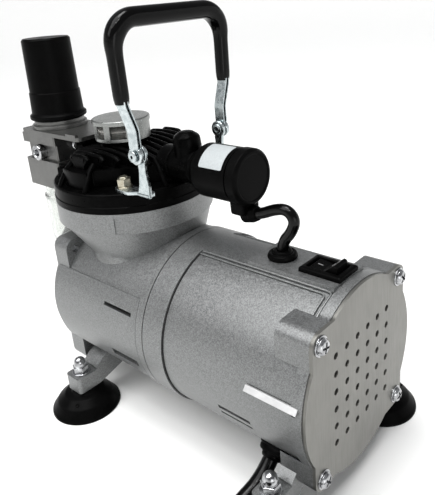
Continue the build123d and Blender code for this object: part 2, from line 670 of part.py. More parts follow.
def trap_bowl():
    outside = [
        (0, BOWL_LOW), (9.0, BOWL_LOW), (14.0, BOWL_LOW + 2.4), (16.2, BOWL_LOW + 6.5),
        (16.5, 48.0), (15.4, 49.0), (15.4, BOWL_TOP), (13.4, BOWL_TOP), (13.4, 48.0),
        (14.2, 46.0), (14.0, 4.4), (12.0, 1.0), (8.5, -1.2), (0, -1.2),
    ]
    return turned_z(outside, 0, REG_Y) - cyl_z(2.6, 6, 0, REG_Y, -5)


def filter_element():
    return cyl_z(7.0, 20, 0, REG_Y, 31.0) - cyl_z(4.6, 30, 0, REG_Y, 30.0)


def filter_baffle():
    """Umbrella under the filter that keeps the water still, on a post through the filter."""
    cone = turned_z([(0, 24.0), (11.5, 18.0), (11.5, 19.2), (4.0, 31.0), (0, 31.0)], 0, REG_Y)
    return cone + cyl_z(2.2, BOWL_TOP - 31.0, 0, REG_Y, 31.0)


def drain_button():
    """Spring-loaded valve stem: pushed up to let the water out."""
    stem = cyl_z(2.5, 7.4, 0, REG_Y, -7.0)
    return stem + cyl_z(4.2, 2.0, 0, REG_Y, -8.6) + cyl_z(4.0, 1.0, 0, REG_Y, -1.1)


# ---- pressure gauge ----
GAUGE_Z = 73.0
GAUGE_R = 13.0
GAUGE_X = (20.0, 33.0)


def gauge_case():
    back, front = GAUGE_X
    shell = cyl_x(GAUGE_R, front - back, back, REG_Y, GAUGE_Z)
    shell -= cyl_x(GAUGE_R - 1.4, front - back, back + 2.0, REG_Y, GAUGE_Z)
    stem = cyl_x(4.6, back - REG_HALF, REG_HALF, REG_Y, GAUGE_Z)
    hub = cyl_x(0.6, 5.2, back + 2.0, REG_Y, GAUGE_Z)
    return shell + stem + hub


def gauge_dial():
    dial = cyl_x(GAUGE_R - 1.45, 0.8, GAUGE_X[0] + 4.0, REG_Y, GAUGE_Z)
    return dial - cyl_x(0.6, 3, GAUGE_X[0] + 3, REG_Y, GAUGE_Z)


def gauge_needle():
    """Thin pointer at the zero of the scale, low on the dial's left."""
    x = GAUGE_X[0] + 5.4
    hub = cyl_x(1.6, 1.0, x, REG_Y, GAUGE_Z)
    arm = block((x, -0.45, -2.5), (x + 0.4, 0.45, 8.6))
    part = hub + Pos(0, REG_Y, GAUGE_Z) * Rot(135, 0, 0) * arm
    return part - cyl_x(0.6 + TURN_GAP, 3, x - 1, REG_Y, GAUGE_Z)


def gauge_lens():
    return cyl_x(GAUGE_R - 1.45, 1.2, GAUGE_X[1] - 2.4, REG_Y, GAUGE_Z)


# ---- feet ----
CUP_TOP = -44.3
STUD_L = 15.4
NUT_WASHER_R = 4.9
NUT_WASHER_T = 0.9
NUT_HEX = 7.6
NUT_HEX_T = 3.6
DOME_R = 3.3


def foot_positions():
    return [(sx * FOOT_X, y) for y in FOOT_YS for sx in (-1, 1)]


def suction_cups():
    profile = [
        (0, CUP_TOP), (6.2, CUP_TOP), (10.5, CUP_TOP - 1.6), (14.8, CUP_TOP - 5.0),
        (17.6, CUP_TOP - 8.6), (CUP_R, -AXIS_H + 0.9), (CUP_R, -AXIS_H), (CUP_R - 1.4, -AXIS_H),
        (15.0, CUP_TOP - 8.4), (10.0, CUP_TOP - 5.2), (4.0, CUP_TOP - 3.6), (0, CUP_TOP - 3.4),
    ]
    return Compound([turned_z(profile, x, y) for x, y in foot_positions()])


def foot_studs():
    bottom = CUP_TOP
    studs = []
    for x, y in foot_positions():
        studs.append(cyl_z(6.0, LEG_PAD_Z[0] - bottom, x, y, bottom) + cyl_z(STUD_R, STUD_L, x, y, bottom))
    return Compound(studs)


def foot_nuts():
    """Domed nuts with a washer, on the legs' pads."""
    base = LEG_PAD_Z[1]
    hex_z0 = base + NUT_WASHER_T
    dome_z0 = hex_z0 + NUT_HEX_T
    nuts = []
    for x, y in foot_positions():
        nut = cyl_z(NUT_WASHER_R, NUT_WASHER_T, x, y, base) + hex_z(NUT_HEX, NUT_HEX_T, x, y, hex_z0)
        dome = cyl_z(DOME_R, 1.6, x, y, dome_z0) + Pos(x, y, dome_z0 + 1.6) * Sphere(DOME_R)
        thread = cyl_z(STUD_R, STUD_L + 0.5, x, y, CUP_TOP)
        nuts.append(nut + dome - thread)
    return Compound(nuts)


# ---- motor and pump, inside ----
STATOR_YS = (50.0, 76.0)
SHAFT_R = 4.0
BEARING_R = 11.0
BEARING_YS = (25.0, 84.0)
BEARING_W = 6.0
CRANK_PIN_R = 4.0
PIN_Y = (134.0, 144.0)
ROD_YS = (135.0, 143.0)


def stator_core():
    y0, y1 = STATOR_YS
    core = cyl_y(BODY_R - WALL - 0.1, y1 - y0, y=y0) - cyl_y(22.0, y1 - y0, y=y0)
    for turn in range(4):
        bore = Rot(0, 90 * turn + 45, 0) * block((21, y0, -5), (34, y1, 5))
        core -= bore
    return core


def stator_windings():
    """Copper end turns at both ends of the core."""
    y0, y1 = STATOR_YS
    rings = []
    for start in (y0 - 6.0, y1):
        rings.append(cyl_y(35.0, 6.0, y=start) - cyl_y(23.0, 6.0, y=start))
    return Compound(rings)


def bearing_brackets():
    """Two pierced discs that hold the shaft's bearings in the rear housing."""
    parts = []
    for y0 in BEARING_YS:
        disc = cyl_y(BODY_R - WALL - 0.1, BEARING_W, y=y0) - cyl_y(BEARING_R, BEARING_W, y=y0)
        for turn in range(6):
            disc -= Rot(0, 60 * turn, 0) * cyl_y(7.0, BEARING_W, 26, y0, 0)
        parts.append(disc)
    return Compound(parts)


def motor_bearings():
    rings = []
    for y0 in BEARING_YS:
        ring = cyl_y(BEARING_R, BEARING_W, y=y0) - cyl_y(SHAFT_R + TURN_GAP, BEARING_W, y=y0)
        rings.append(ring)
    return Compound(rings)


def motor_shaft():
    return cyl_y(SHAFT_R, PIN_Y[0] - 7.0, y=7.0)


def rotor():
    y0, y1 = STATOR_YS
    core = cyl_y(21.5, y1 - y0, y=y0)
    rings = cyl_y(18.5, y1 - y0 + 6, y=y0 - 3)
    return core + rings - cyl_y(SHAFT_R, 60, y=y0 - 10)


def cooling_fan():
    hub = cyl_y(7.0, 12.0, y=9.0) + cyl_y(23.0, 1.6, y=19.4)
    blades = hub
    for blade in range(7):
        blades += Rot(0, 360 / 7 * blade, 0) * block((6, 9.5, -0.8), (23, 19.6, 0.8))
    return blades - cyl_y(SHAFT_R, 20, y=5)


def crank():
    """Eccentric with its counterweight, keyed to the shaft; the pin is up at rest."""
    hub = cyl_y(10.0, 12.0, y=122.0)
    weight = cyl_y(24.0, 10.0, y=123.0) & block((-24, 120, -24), (24, 136, -3.0))
    pin = cyl_y(CRANK_PIN_R, PIN_Y[1] - PIN_Y[0], z=CRANK_THROW, y=PIN_Y[0])
    disc = cyl_y(10.0, 2.0, y=132.0)
    return hub + weight + disc - cyl_y(SHAFT_R, 14, y=120) + pin


def piston_rod():
    """Wobble rod: big-end eye on the crank pin and a flat piston head, one casting."""
    y0, y1 = ROD_YS
    eye = cyl_y(9.0, y1 - y0, y=y0, z=CRANK_THROW)
    shank = block((-4, y0, CRANK_THROW), (4, y1, 50))
    head = cyl_z(SLEEVE_R - CRANK_THROW - 0.6, 4.0, 0, HEAD_Y, 49.0)
    return eye + shank + head - cyl_y(CRANK_PIN_R + TURN_GAP, 20, z=CRANK_THROW, y=y0 - 5)


def piston_cup():
    """Thin seal cup on the piston head."""
    r = SLEEVE_R - CRANK_THROW - 0.4
    return cyl_z(r, 1.6, 0, HEAD_Y, 53.0)


def cylinder_sleeve():
    length = FLANGE_Z - NECK_BASE_Z
    sleeve = cyl_z(SLEEVE_OUT_R, length, 0, HEAD_Y, NECK_BASE_Z)
    return sleeve - cyl_z(SLEEVE_R, length, 0, HEAD_Y, NECK_BASE_Z)


# ---- power cord ----
CORD_R = 3.5
CORD_FLOOR = -AXIS_H + CORD_R
RELIEF_CAP = 3.4
RELIEF_OUT = 6.0
COIL_TURN_R = 31.5        # middle of the turns
COIL_ROWS = 4             # turns side by side
COIL_LAYERS = 2
COIL_X = -118.0
COIL_Y = -10.0
COIL_OUT_R = COIL_TURN_R + (COIL_ROWS - 1) * CORD_R
PLUG_GAP = 32.0           # from the coil's middle to the plug's cord end, along X
TAIL_GAP = 14.0           # from the coil's middle to the tail's start, along X
PLUG_HALF_T = 7.5
PIN_HALF_PITCH = 6.35
PLUG_AXIS_Z = -AXIS_H + PLUG_HALF_T


def strain_relief():
    """Oval bush clipped into the housing wall, tapering along the cord."""
    flange = RectangleRounded(*RELIEF_FLANGE, 5.0)
    waist = RectangleRounded(RELIEF_HOLE[1], RELIEF_HOLE[0], 0.2)
    bush = Pos(0, 0, -9.0) * extrude(waist, 9.0)
    cap = loft([Pos(0, 0, 0.0) * flange, Pos(0, 0, RELIEF_CAP) * RectangleRounded(10.2, 12.6, 4.6)])
    snout = loft([Pos(0, 0, RELIEF_CAP) * Circle(5.0), Pos(0, 0, RELIEF_OUT) * Circle(4.4)])
    part = bush + cap + snout - Pos(0, 0, -10) * cyl_z(CORD_R, 10 + 30)
    return relief_frame() * part - cyl_y(BODY_R - WALL, 60, y=0)


def cord_exit():
    frame = relief_frame() * Pos(0, 0, RELIEF_OUT)
    return tuple(frame.position)


def cord_points():
    """Out of the bush, over the suction cup and along the bench to the coil's outer turn."""
    x, y, z = cord_exit()
    a = radians(RELIEF_ANGLE)
    return [
        (x, y, z), (x - 9.0 * cos(a), y + 0.4, z + 9.0 * sin(a)), (-54.0, 27.0, -43.1),
        (-65.0, 29.6, -48.0), (-76.5, 32.4, CORD_FLOOR), (-88.0, 34.0, CORD_FLOOR),
        (COIL_X + 20.0, COIL_Y + COIL_OUT_R + 1.6, CORD_FLOOR),
        (COIL_X + 12.0, COIL_Y + COIL_OUT_R + 0.2, CORD_FLOOR),
    ]


def power_cord():
    """The stretch to the coil, and the short tail from the coil to the plug."""
    tail = cyl_x(CORD_R, PLUG_GAP - TAIL_GAP, COIL_X + TAIL_GAP, COIL_Y - COIL_OUT_R, PLUG_AXIS_Z)
    return Compound([route_tube(cord_points(), CORD_R, "power_cord"), tail])


def cord_coil():
    """The outer shape of the wound length: a flat ring of turns."""
    half = COIL_ROWS * CORD_R
    height = COIL_LAYERS * 2 * CORD_R
    ring = cyl_z(COIL_TURN_R + half, height, COIL_X, COIL_Y, -AXIS_H)
    return ring - cyl_z(COIL_TURN_R - half, height, COIL_X, COIL_Y, -AXIS_H)


def cord_plug():
    """A two-pin mains plug beside the coil, in line with its outer turn, pins towards +X."""
    boot = turned_y([(0, 0), (4.2, 0), (5.6, -14.0), (0, -14.0)])
    body = fillet(block((-9, -40, -PLUG_HALF_T), (9, -12, PLUG_HALF_T)).edges(), 3.0)
    pins = [block((dx - 0.8, -57, -3.1), (dx + 0.8, -39, 3.1)) for dx in (-PIN_HALF_PITCH, PIN_HALF_PITCH)]
    spot = Pos(COIL_X + PLUG_GAP, COIL_Y - COIL_OUT_R, PLUG_AXIS_Z)
    return spot * Rot(0, 0, 90) * (boot + body + pins)


PIECES = {
    "rear_housing": rear_housing,
    "front_crankcase": front_crankcase,
    "housing_gasket": housing_gasket,
    "crankcase_cover": crank_cover,
    "vent_plate": vent_plate,
    "housing_screws": housing_screws,
    "switch_bezel": switch_bezel,
    "rocker": rocker,
    "lead_grommet": lead_grommet,
    "switch_lead": lambda: route_tube(LEAD_POINTS, LEAD_R, "switch_lead"),
    "pressure_switch_cap": pressure_switch_cap,
    "pressure_switch_body": pressure_switch_body,
    "switch_label": switch_label,
    "switch_elbow": switch_elbow,
    "cylinder_head": cylinder_head,
    "valve_plate": valve_plate,
    "reed_valves": reed_valves,
    "head_bolts": head_bolts,
    "intake_cap": intake_cap,
    "intake_felt": intake_felt,
    "handle_brackets": lambda: Compound(both_sides(handle_bracket())),
    "handle_pins": lambda: Compound(both_sides(handle_pin())),
    "handle_frame": handle_frame,
    "handle_grip": handle_grip,
    "regulator_block": regulator_block,
    "regulator_bracket": regulator_bracket,
    "ring_nut": ring_nut,
    "regulator_knob": regulator_knob,
    "adjusting_screw": adjusting_screw,
    "regulator_spring": regulator_spring,
    "side_plug": side_plug,
    "inlet_nipple": inlet_nipple,
    "outlet_nipple": outlet_nipple,
    "trap_bowl": trap_bowl,
    "filter_element": filter_element,
    "filter_baffle": filter_baffle,
    "drain_button": drain_button,
    "gauge_case": gauge_case,
    "gauge_dial": gauge_dial,
    "gauge_needle": gauge_needle,
    "gauge_lens": gauge_lens,
    "suction_cups": suction_cups,
    "foot_studs": foot_studs,
    "foot_nuts": foot_nuts,
    "stator_core": stator_core,
    "stator_windings": stator_windings,
    "bearing_brackets": bearing_brackets,
    "motor_bearings": motor_bearings,
    "motor_shaft": motor_shaft,
    "rotor": rotor,
    "cooling_fan": cooling_fan,
    "crank": crank,
    "piston_rod": piston_rod,
    "piston_cup": piston_cup,
    "cylinder_sleeve": cylinder_sleeve,
    "strain_relief": strain_relief,
    "power_cord": power_cord,
    "cord_coil": cord_coil,
    "cord_plug": cord_plug,
}

for piece_name, make in PIECES.items():
    save(piece_name, make())
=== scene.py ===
from math import atan2, cos, pi, radians, sin, sqrt, tan

import bmesh
import bpy
from mathutils import Matrix, Vector


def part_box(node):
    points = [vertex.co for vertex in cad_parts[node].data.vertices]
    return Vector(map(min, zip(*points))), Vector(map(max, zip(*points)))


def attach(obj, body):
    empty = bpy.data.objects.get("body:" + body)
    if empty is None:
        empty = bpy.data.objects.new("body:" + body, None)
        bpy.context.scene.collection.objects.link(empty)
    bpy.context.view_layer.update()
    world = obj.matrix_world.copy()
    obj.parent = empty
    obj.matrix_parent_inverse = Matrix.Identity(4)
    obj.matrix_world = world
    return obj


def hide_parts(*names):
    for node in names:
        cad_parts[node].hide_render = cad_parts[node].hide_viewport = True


# The looks of a small airbrush compressor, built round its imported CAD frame.
# Pieces are drawn in millimetres from the motor axis, where it meets the vent plate's outer face.

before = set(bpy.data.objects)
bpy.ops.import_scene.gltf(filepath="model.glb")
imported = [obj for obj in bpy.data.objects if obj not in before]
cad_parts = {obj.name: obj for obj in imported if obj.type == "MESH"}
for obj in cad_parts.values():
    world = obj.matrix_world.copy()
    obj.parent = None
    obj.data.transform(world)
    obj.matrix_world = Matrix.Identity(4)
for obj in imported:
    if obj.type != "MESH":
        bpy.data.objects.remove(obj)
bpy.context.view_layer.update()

MM = 0.001
PLATE_LOW, PLATE_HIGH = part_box("vent_plate")
AXIS = Vector((0.0, PLATE_LOW.y, (PLATE_LOW.z + PLATE_HIGH.z) / 2))


def at(x, y, z):
    """A point in the frame, given in mm from the motor axis at the vent plate."""
    return AXIS + Vector((x, y, z)) * MM


def low(node):
    """A node's lowest corner, in mm from the motor axis."""
    return (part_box(node)[0] - AXIS) / MM


def high(node):
    return (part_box(node)[1] - AXIS) / MM


def middle(node, axis):
    return (low(node)[axis] + high(node)[axis]) / 2


Y, Z = 1, 2
GASKET_INSET = 0.3
CUP_R = 18.7
BODY_R = high("housing_gasket").x + GASKET_INSET
BENCH_Z = -AXIS.z / MM
HEAD_Y = middle("valve_plate", Y)
REG_Y = middle("ring_nut", Y)
PLUG_Z = middle("side_plug", Z)
SWITCH_AXIS_Z = middle("inlet_nipple", Z)
FOOT_X = high("suction_cups").x - CUP_R
FOOT_YS = (low("suction_cups").y + CUP_R, high("suction_cups").y - CUP_R)
PIVOT_Y = middle("handle_pins", Y)
PIVOT_Z = middle("handle_pins", Z)
CORNERS = [(a, b) for a in (-1, 1) for b in (-1, 1)]


def turn(degrees, axis):
    return Matrix.Rotation(radians(degrees), 4, axis)


def shift(x, y, z):
    return Matrix.Translation((x, y, z))


def placed(name, data, where=None):
    """A new object in the scene."""
    obj = bpy.data.objects.new(name, data)
    if where:
        obj.matrix_world = where
    bpy.context.scene.collection.objects.link(obj)
    return obj


# ---- camera, light and floor ----
CAMERA_AT = (-0.18298, -0.21582, 0.21399)
LOOK_DOWN = 19.708
HEADING = -48.043
ROLL = -4.248
LIGHTS_AIM = Vector((0.0, 0.0, 0.08))


def add_camera():
    data = bpy.data.cameras.new("camera")
    data.lens = 41.486
    data.sensor_width = 36.0
    data.shift_x = -0.0390
    data.shift_y = -0.1106
    aim = turn(HEADING, "Z") @ turn(90 - LOOK_DOWN, "X") @ turn(ROLL, "Z")
    bpy.context.scene.camera = placed("camera", data, shift(*CAMERA_AT) @ aim)


def facing(aim):
    """The turn that points a lamp along a direction."""
    return Vector(aim).to_track_quat("-Z", "Y").to_matrix().to_4x4()


def add_light(name, place, size, watts):
    """A square soft light, turned to the middle of the compressor; place and size in metres."""
    data = bpy.data.lights.new(name, "AREA")
    data.size = size
    data.energy = watts
    placed(name, data, shift(*place) @ facing(LIGHTS_AIM - Vector(place)))


def add_sun(aim, strength, spread):
    """An even light from one side; spread is the angle it seems to fill."""
    data = bpy.data.lights.new("daylight", "SUN")
    data.energy = strength
    data.angle = radians(spread)
    placed("daylight", data, facing(aim))


def add_studio():
    add_sun((0.35, -0.10, -0.93), 2.3, 50)
    add_light("key", (-0.75, 0.35, 0.75), 0.45, 1.9)
    add_light("overhead", (0.00, 0.00, 1.10), 0.35, 4.2)
    add_light("front_fill", (-0.50, -1.00, 0.25), 0.50, 1.6)
    add_light("lamp_left", (-0.42, -0.30, 1.05), 0.05, 1.0)
    add_light("lamp_right", (-0.22, -0.42, 1.05), 0.05, 1.0)
    world = bpy.data.worlds.new("studio")
    world.use_nodes = True
    sky = world.node_tree.nodes["Background"]
    sky.inputs["Color"].default_value = (0.96, 0.97, 1.0, 1.0)
    sky.inputs["Strength"].default_value = 0.30
    bpy.context.scene.world = world
    bpy.context.scene.view_settings.view_transform = "Standard"


# ---- materials ----
def grain(size_mm):
    """A texture's scale, per metre, for features of this size."""
    return 1000.0 / size_mm


def grey(value):
    return (value, value, value)


def scaled(colour, share):
    return tuple(share * c for c in colour)


class Look:
    """A Principled material and the few node patterns that the finishes share."""

    def __init__(self, name, colour, metallic=0.0, roughness=0.5, **sockets):
        self.material = bpy.data.materials.new(name)
        self.material.use_nodes = True
        self.tree = self.material.node_tree
        self.shader = self.tree.nodes["Principled BSDF"]
        self.fill(self.shader, Base_Color=colour, Metallic=metallic, Roughness=roughness, **sockets)
        self.where = self.add("TexCoord", "Object")

    def fill(self, node, **sockets):
        """Gives sockets their values, or links them to another node's output."""
        for name, value in sockets.items():
            socket = node.inputs[name.replace("_", " ")]
            if isinstance(value, bpy.types.NodeSocket):
                self.tree.links.new(value, socket)
            else:
                socket.default_value = (*value, 1.0) if socket.type == "RGBA" else value

    def add(self, kind, output, **sockets):
        """A new node's output."""
        node = self.tree.nodes.new("ShaderNode" + kind)
        if kind == "Mix":
            node.data_type = "RGBA"
        self.fill(node, **sockets)
        return node.outputs[output]

    def stretched(self, factors):
        """Object coordinates scaled along each axis, for brushed and streaky patterns."""
        return self.add("Mapping", "Vector", Scale=factors, Vector=self.where)

    def noise(self, size_mm, detail=3.0, where=None):
        return self.add("TexNoise", "Fac", Scale=grain(size_mm), Detail=detail, Vector=where or self.where)

    def cells(self, size_mm, output):
        return self.add("TexVoronoi", output, Scale=grain(size_mm), Vector=self.where)

    def spread(self, source, low_end=0.0, high_end=1.0, start=0.3, end=0.7):
        """Maps a pattern's middle range to low_end..high_end."""
        return self.add(
            "MapRange", "Result", From_Min=start, From_Max=end, To_Min=low_end, To_Max=high_end, Value=source
        )

    def blend(self, share, first, second):
        """A colour between two, by a share from 0 to 1."""
        return self.add("Mix", "Result", Factor=share, A=first, B=second)

    def colour(self, share, first, second):
        """The base colour, between two by a share from 0 to 1."""
        self.fill(self.shader, Base_Color=self.blend(share, first, second))

    def rough(self, source, low_end, high_end):
        self.fill(self.shader, Roughness=self.spread(source, low_end, high_end))

    def bump(self, source, height_mm, strength=0.5):
        """Relief on top of any relief that is there already."""
        links = self.shader.inputs["Normal"].links
        under = {"Normal": links[0].from_socket} if links else {}
        distance = height_mm * MM
        relief = self.add("Bump", "Normal", Strength=strength, Distance=distance, Height=source, **under)
        self.fill(self.shader, Normal=relief)
        return self


def silver_paint(name):
    """Sprayed aluminium-flake paint on a fine sand casting."""
    look = Look(name, (0.5, 0.51, 0.51), metallic=0.80, roughness=0.40)
    flakes = look.add("SeparateColor", 0, Color=look.cells(0.38, "Color"))
    mottle = look.noise(3.5, detail=4.0)
    tone = look.blend(look.spread(flakes, start=0.1, end=0.9), (0.15, 0.154, 0.154), (0.28, 0.286, 0.286))
    look.colour(look.spread(mottle, 0.0, 0.25), tone, (0.195, 0.198, 0.195))
    look.rough(flakes, 0.34, 0.52)
    return look.bump(mottle, 0.08, 0.3).bump(look.noise(0.5, detail=2.0), 0.04, 0.4)


def satin_cast(name, colour, metallic=0.85, roughness=0.36, size_mm=1.2):
    """Blasted or tumbled alloy: even, with a faint cloud and a fine tooth."""
    look = Look(name, colour, metallic=metallic, roughness=roughness)
    cloud = look.noise(9.0, detail=4.0)
    tooth = look.noise(size_mm, detail=3.0)
    look.colour(look.spread(cloud), scaled(colour, 0.82), colour)
    look.rough(tooth, roughness - 0.07, roughness + 0.09)
    return look.bump(tooth, 0.03, 0.3)


def brushed(name, colour, along, roughness=0.33, metallic=0.9):
    """Rolled sheet: long fine streaks along one axis."""
    look = Look(name, colour, metallic=metallic, roughness=roughness)
    streaks = look.noise(0.6, detail=3.0, where=look.stretched(along))
    cloud = look.noise(14.0, detail=3.0)
    look.colour(look.spread(cloud), scaled(colour, 0.88), colour)
    look.rough(streaks, roughness - 0.06, roughness + 0.08)
    return look.bump(streaks, 0.01, 0.25)


def plated(name, colour, roughness, tint):
    """Zinc or chrome plating: bright, a little uneven, with darker patches."""
    look = Look(name, colour, metallic=1.0, roughness=roughness)
    cloud = look.noise(2.2, detail=5.0)
    look.colour(look.spread(cloud, start=0.35, end=0.65), tint, colour)
    look.rough(cloud, roughness, roughness + 0.14)
    return look.bump(look.noise(0.9, detail=3.0), 0.02, 0.35)


def moulded(name, colour, roughness, size_mm=0.35, depth_mm=0.02, gleam=0.03):
    """Plastic or rubber from a mould: a fine texture, faint handling marks."""
    look = Look(name, colour, roughness=roughness, Specular_IOR_Level=gleam)
    cloud = look.noise(7.0, detail=5.0)
    look.colour(look.spread(cloud), colour, scaled(colour, 1.6))
    look.rough(cloud, roughness - 0.06, roughness + 0.08)
    return look.bump(look.noise(size_mm, detail=2.0), depth_mm, 0.4)


def gloss_enamel(name):
    """Stoved black enamel on a casting, with a slight orange peel."""
    look = Look(name, grey(0.003), roughness=0.26, Specular_IOR_Level=0.03)
    peel = look.noise(1.6, detail=2.0)
    dust = look.noise(5.0, detail=6.0)
    look.colour(look.spread(dust, start=0.5, end=0.8), grey(0.001), grey(0.003))
    look.rough(dust, 0.24, 0.38)
    return look.bump(peel, 0.06, 0.35)


def clear_bowl(name):
    """Clear moulded polycarbonate, faintly milky."""
    look = Look(
        name, (0.93, 0.95, 0.93), roughness=0.12, Transmission_Weight=0.88, IOR=1.45,
        Coat_Weight=0.2, Coat_Roughness=0.05,
    )
    haze = look.noise(6.0, detail=4.0)
    look.colour(look.spread(haze), (0.86, 0.89, 0.86), (0.96, 0.97, 0.95))
    look.rough(haze, 0.08, 0.2)
    return look.bump(look.noise(3.0, detail=2.0), 0.02, 0.2)


def felt(name):
    look = Look(name, (0.72, 0.70, 0.64), roughness=0.95, Sheen_Weight=0.4, Sheen_Roughness=0.6)
    fuzz = look.noise(0.5, detail=6.0)
    look.colour(look.spread(fuzz), (0.5, 0.49, 0.44), (0.80, 0.78, 0.73))
    return look.bump(fuzz, 0.3, 0.8)


def sintered(name):
    """Porous bead filter."""
    look = Look(name, (0.85, 0.85, 0.82), roughness=0.85)
    far = look.spread(look.cells(0.6, "Distance"), 1.0, 0.0, 0.0, 0.7)
    look.colour(far, (0.6, 0.6, 0.56), (0.9, 0.9, 0.87))
    return look.bump(far, 0.25, 0.8)


def windings(name):
    look = Look(name, (0.55, 0.21, 0.08), metallic=0.9, roughness=0.32, Coat_Weight=0.6)
    strands = look.noise(0.5, detail=2.0, where=look.stretched((1.0, 0.15, 1.0)))
    look.colour(look.spread(strands), (0.30, 0.09, 0.03), (0.66, 0.27, 0.11))
    return look.bump(strands, 0.25, 0.8)


def paper(name, colour):
    look = Look(name, colour, roughness=0.42, Coat_Weight=0.25, Coat_Roughness=0.15)
    fibres = look.noise(0.7, detail=5.0)
    look.colour(look.spread(fibres), scaled(colour, 0.86), colour)
    look.rough(fibres, 0.36, 0.5)
    return look.bump(fibres, 0.01, 0.3)


# Each finish: what makes it, and that function's settings.
LOOKS = {
    "silver_paint": (silver_paint,),
    "plate_metal": (brushed, (0.205, 0.202, 0.187), (1.0, 1.0, 0.06), 0.36, 0.8),
    "screw_zinc": (plated, (0.55, 0.56, 0.57), 0.12, (0.26, 0.26, 0.27)),
    "bolt_yellow": (plated, (0.52, 0.50, 0.41), 0.24, (0.40, 0.37, 0.29)),
    "gasket_black": (moulded, grey(0.02), 0.7),
    "switch_black": (moulded, grey(0.0015), 0.30, 0.3, 0.02),
    "grommet_rubber": (moulded, grey(0.0015), 0.30, 0.6, 0.03),
    "cable_black": (moulded, grey(0.001), 0.16, 1.5, 0.03, 0.18),
    "pressure_switch_black": (moulded, grey(0.0015), 0.36, 0.4, 0.02),
    "label_white": (paper, (0.47, 0.50, 0.51)),
    "head_black": (gloss_enamel,),
    "pump_steel": (brushed, (0.56, 0.56, 0.57), (0.1, 1.0, 1.0), 0.24, 1.0),
    "filter_metal": (satin_cast, (0.30, 0.31, 0.30), 0.9, 0.30),
    "filter_felt": (felt,),
    "handle_zinc": (plated, (0.60, 0.65, 0.66), 0.20, (0.40, 0.45, 0.46)),
    "regulator_alloy": (satin_cast, (0.15, 0.15, 0.145), 0.85, 0.34, 0.8),
    "grip_pvc": (moulded, grey(0.001), 0.11, 3.0, 0.04, 0.14),
    "knob_black": (moulded, grey(0.0015), 0.36, 0.35, 0.02),
    "bowl_clear": (clear_bowl,),
    "filter_white": (sintered,),
    "baffle_black": (moulded, grey(0.015), 0.45),
    "gauge_black": (moulded, grey(0.003), 0.28),
    "dial_white": (paper, (0.62, 0.65, 0.66)),
    "needle_black": (moulded, grey(0.02), 0.35),
    "cup_rubber": (moulded, grey(0.0015), 0.34, 0.8, 0.03),
    "motor_iron": (brushed, (0.34, 0.33, 0.33), (1.0, 8.0, 1.0), 0.45, 0.9),
    "winding_copper": (windings,),
    "inner_alloy": (satin_cast, grey(0.58), 0.9, 0.4),
    "fan_plastic": (moulded, (0.04, 0.045, 0.05), 0.45),
    "piston_ptfe": (moulded, (0.05, 0.045, 0.04), 0.5),
    "mark_grey": (moulded, grey(0.16), 0.5),
}
materials = {name: make(name, *settings).material for name, (make, *settings) in LOOKS.items()}


# ---- mesh tools ----
SHARP_ANGLE = 30
STILL = Matrix.Identity(4)
FACING = {
    "Z": STILL,
    "Y": turn(-90, "X"),
    "-Y": turn(90, "X"),
    "X": turn(90, "Y"),
    "-X": turn(-90, "Y"),
}


def seat(x=0.0, y=0.0, z=0.0, towards="Z", spin=0.0):
    """Takes a part drawn in mm, standing along +Z, to its place in the frame."""
    return Matrix.Translation(at(x, y, z)) @ FACING[towards] @ turn(spin, "Z") @ Matrix.Scale(MM, 4)


def rounded(points, closed=True, steps=4):
    """An outline of (a, b) points; a corner given as (a, b, radius) becomes an arc."""
    outline = []
    for i, point in enumerate(points):
        here = Vector(point[:2])
        is_end = not closed and i in (0, len(points) - 1)
        if len(point) == 2 or is_end:
            outline.append(here)
            continue
        radius = point[2]
        before = (Vector(points[i - 1][:2]) - here).normalized()
        after = (Vector(points[(i + 1) % len(points)][:2]) - here).normalized()
        half = before.angle(after) / 2
        centre = here + (before + after).normalized() * radius / sin(half)
        arm = here + before * radius / tan(half) - centre
        last = here + after * radius / tan(half) - centre
        swing = atan2(last.y, last.x) - atan2(arm.y, arm.x)
        swing = (swing + pi) % (2 * pi) - pi
        for step in range(steps + 1):
            outline.append(centre + Matrix.Rotation(swing * step / steps, 2) @ arm)
    return outline


def skin(bm, rings, loop=False):
    """Faces between each ring of vertices and the next; a ring of one vertex is a tip."""
    pairs = list(zip(rings, rings[1:]))
    if loop:
        pairs.append((rings[-1], rings[0]))
    for one, two in pairs:
        steps = max(len(one), len(two))
        for i in range(steps):
            j = (i + 1) % steps
            corners = (one[i % len(one)], one[j % len(one)], two[j % len(two)], two[i % len(two)])
            corners = list(dict.fromkeys(corners))
            if len(corners) > 2:
                bm.faces.new(corners)


def finished(bm, where):
    bmesh.ops.recalc_face_normals(bm, faces=bm.faces)
    bm.transform(where)
    return bm


def lathe(profile, where, steps=64, closed=False):
    """Turns an outline of (radius, height, corner radius) points about its own +Z."""
    bm = bmesh.new()
    rings = []
    for r, h in rounded(profile, closed):
        if r < 1e-6:
            rings.append([bm.verts.new((0, 0, h))])
            continue
        angles = [2 * pi * i / steps for i in range(steps)]
        rings.append([bm.verts.new((r * cos(a), r * sin(a), h)) for a in angles])
    skin(bm, rings, closed)
    return finished(bm, where)


def hollow(profile, where, steps):
    """Turns an outline that stays clear of the axis, as for a tube or ring."""
    return lathe(profile, where, steps, closed=True)


def soften(bm, width, segments):
    """Rounds every sharp edge."""
    sharp = [e for e in bm.edges if len(e.link_faces) == 2 and e.calc_face_angle(0) > radians(SHARP_ANGLE)]
    bmesh.ops.bevel(
        bm, geom=sharp, offset=width, segments=segments, profile=0.5, affect="EDGES", clamp_overlap=True
    )


def pulled_up(bm, height):
    """Gives a flat sheet its thickness."""
    raised = bmesh.ops.extrude_face_region(bm, geom=bm.faces[:])["geom"]
    top = [v for v in raised if isinstance(v, bmesh.types.BMVert)]
    bmesh.ops.translate(bm, verts=top, vec=(0, 0, height))


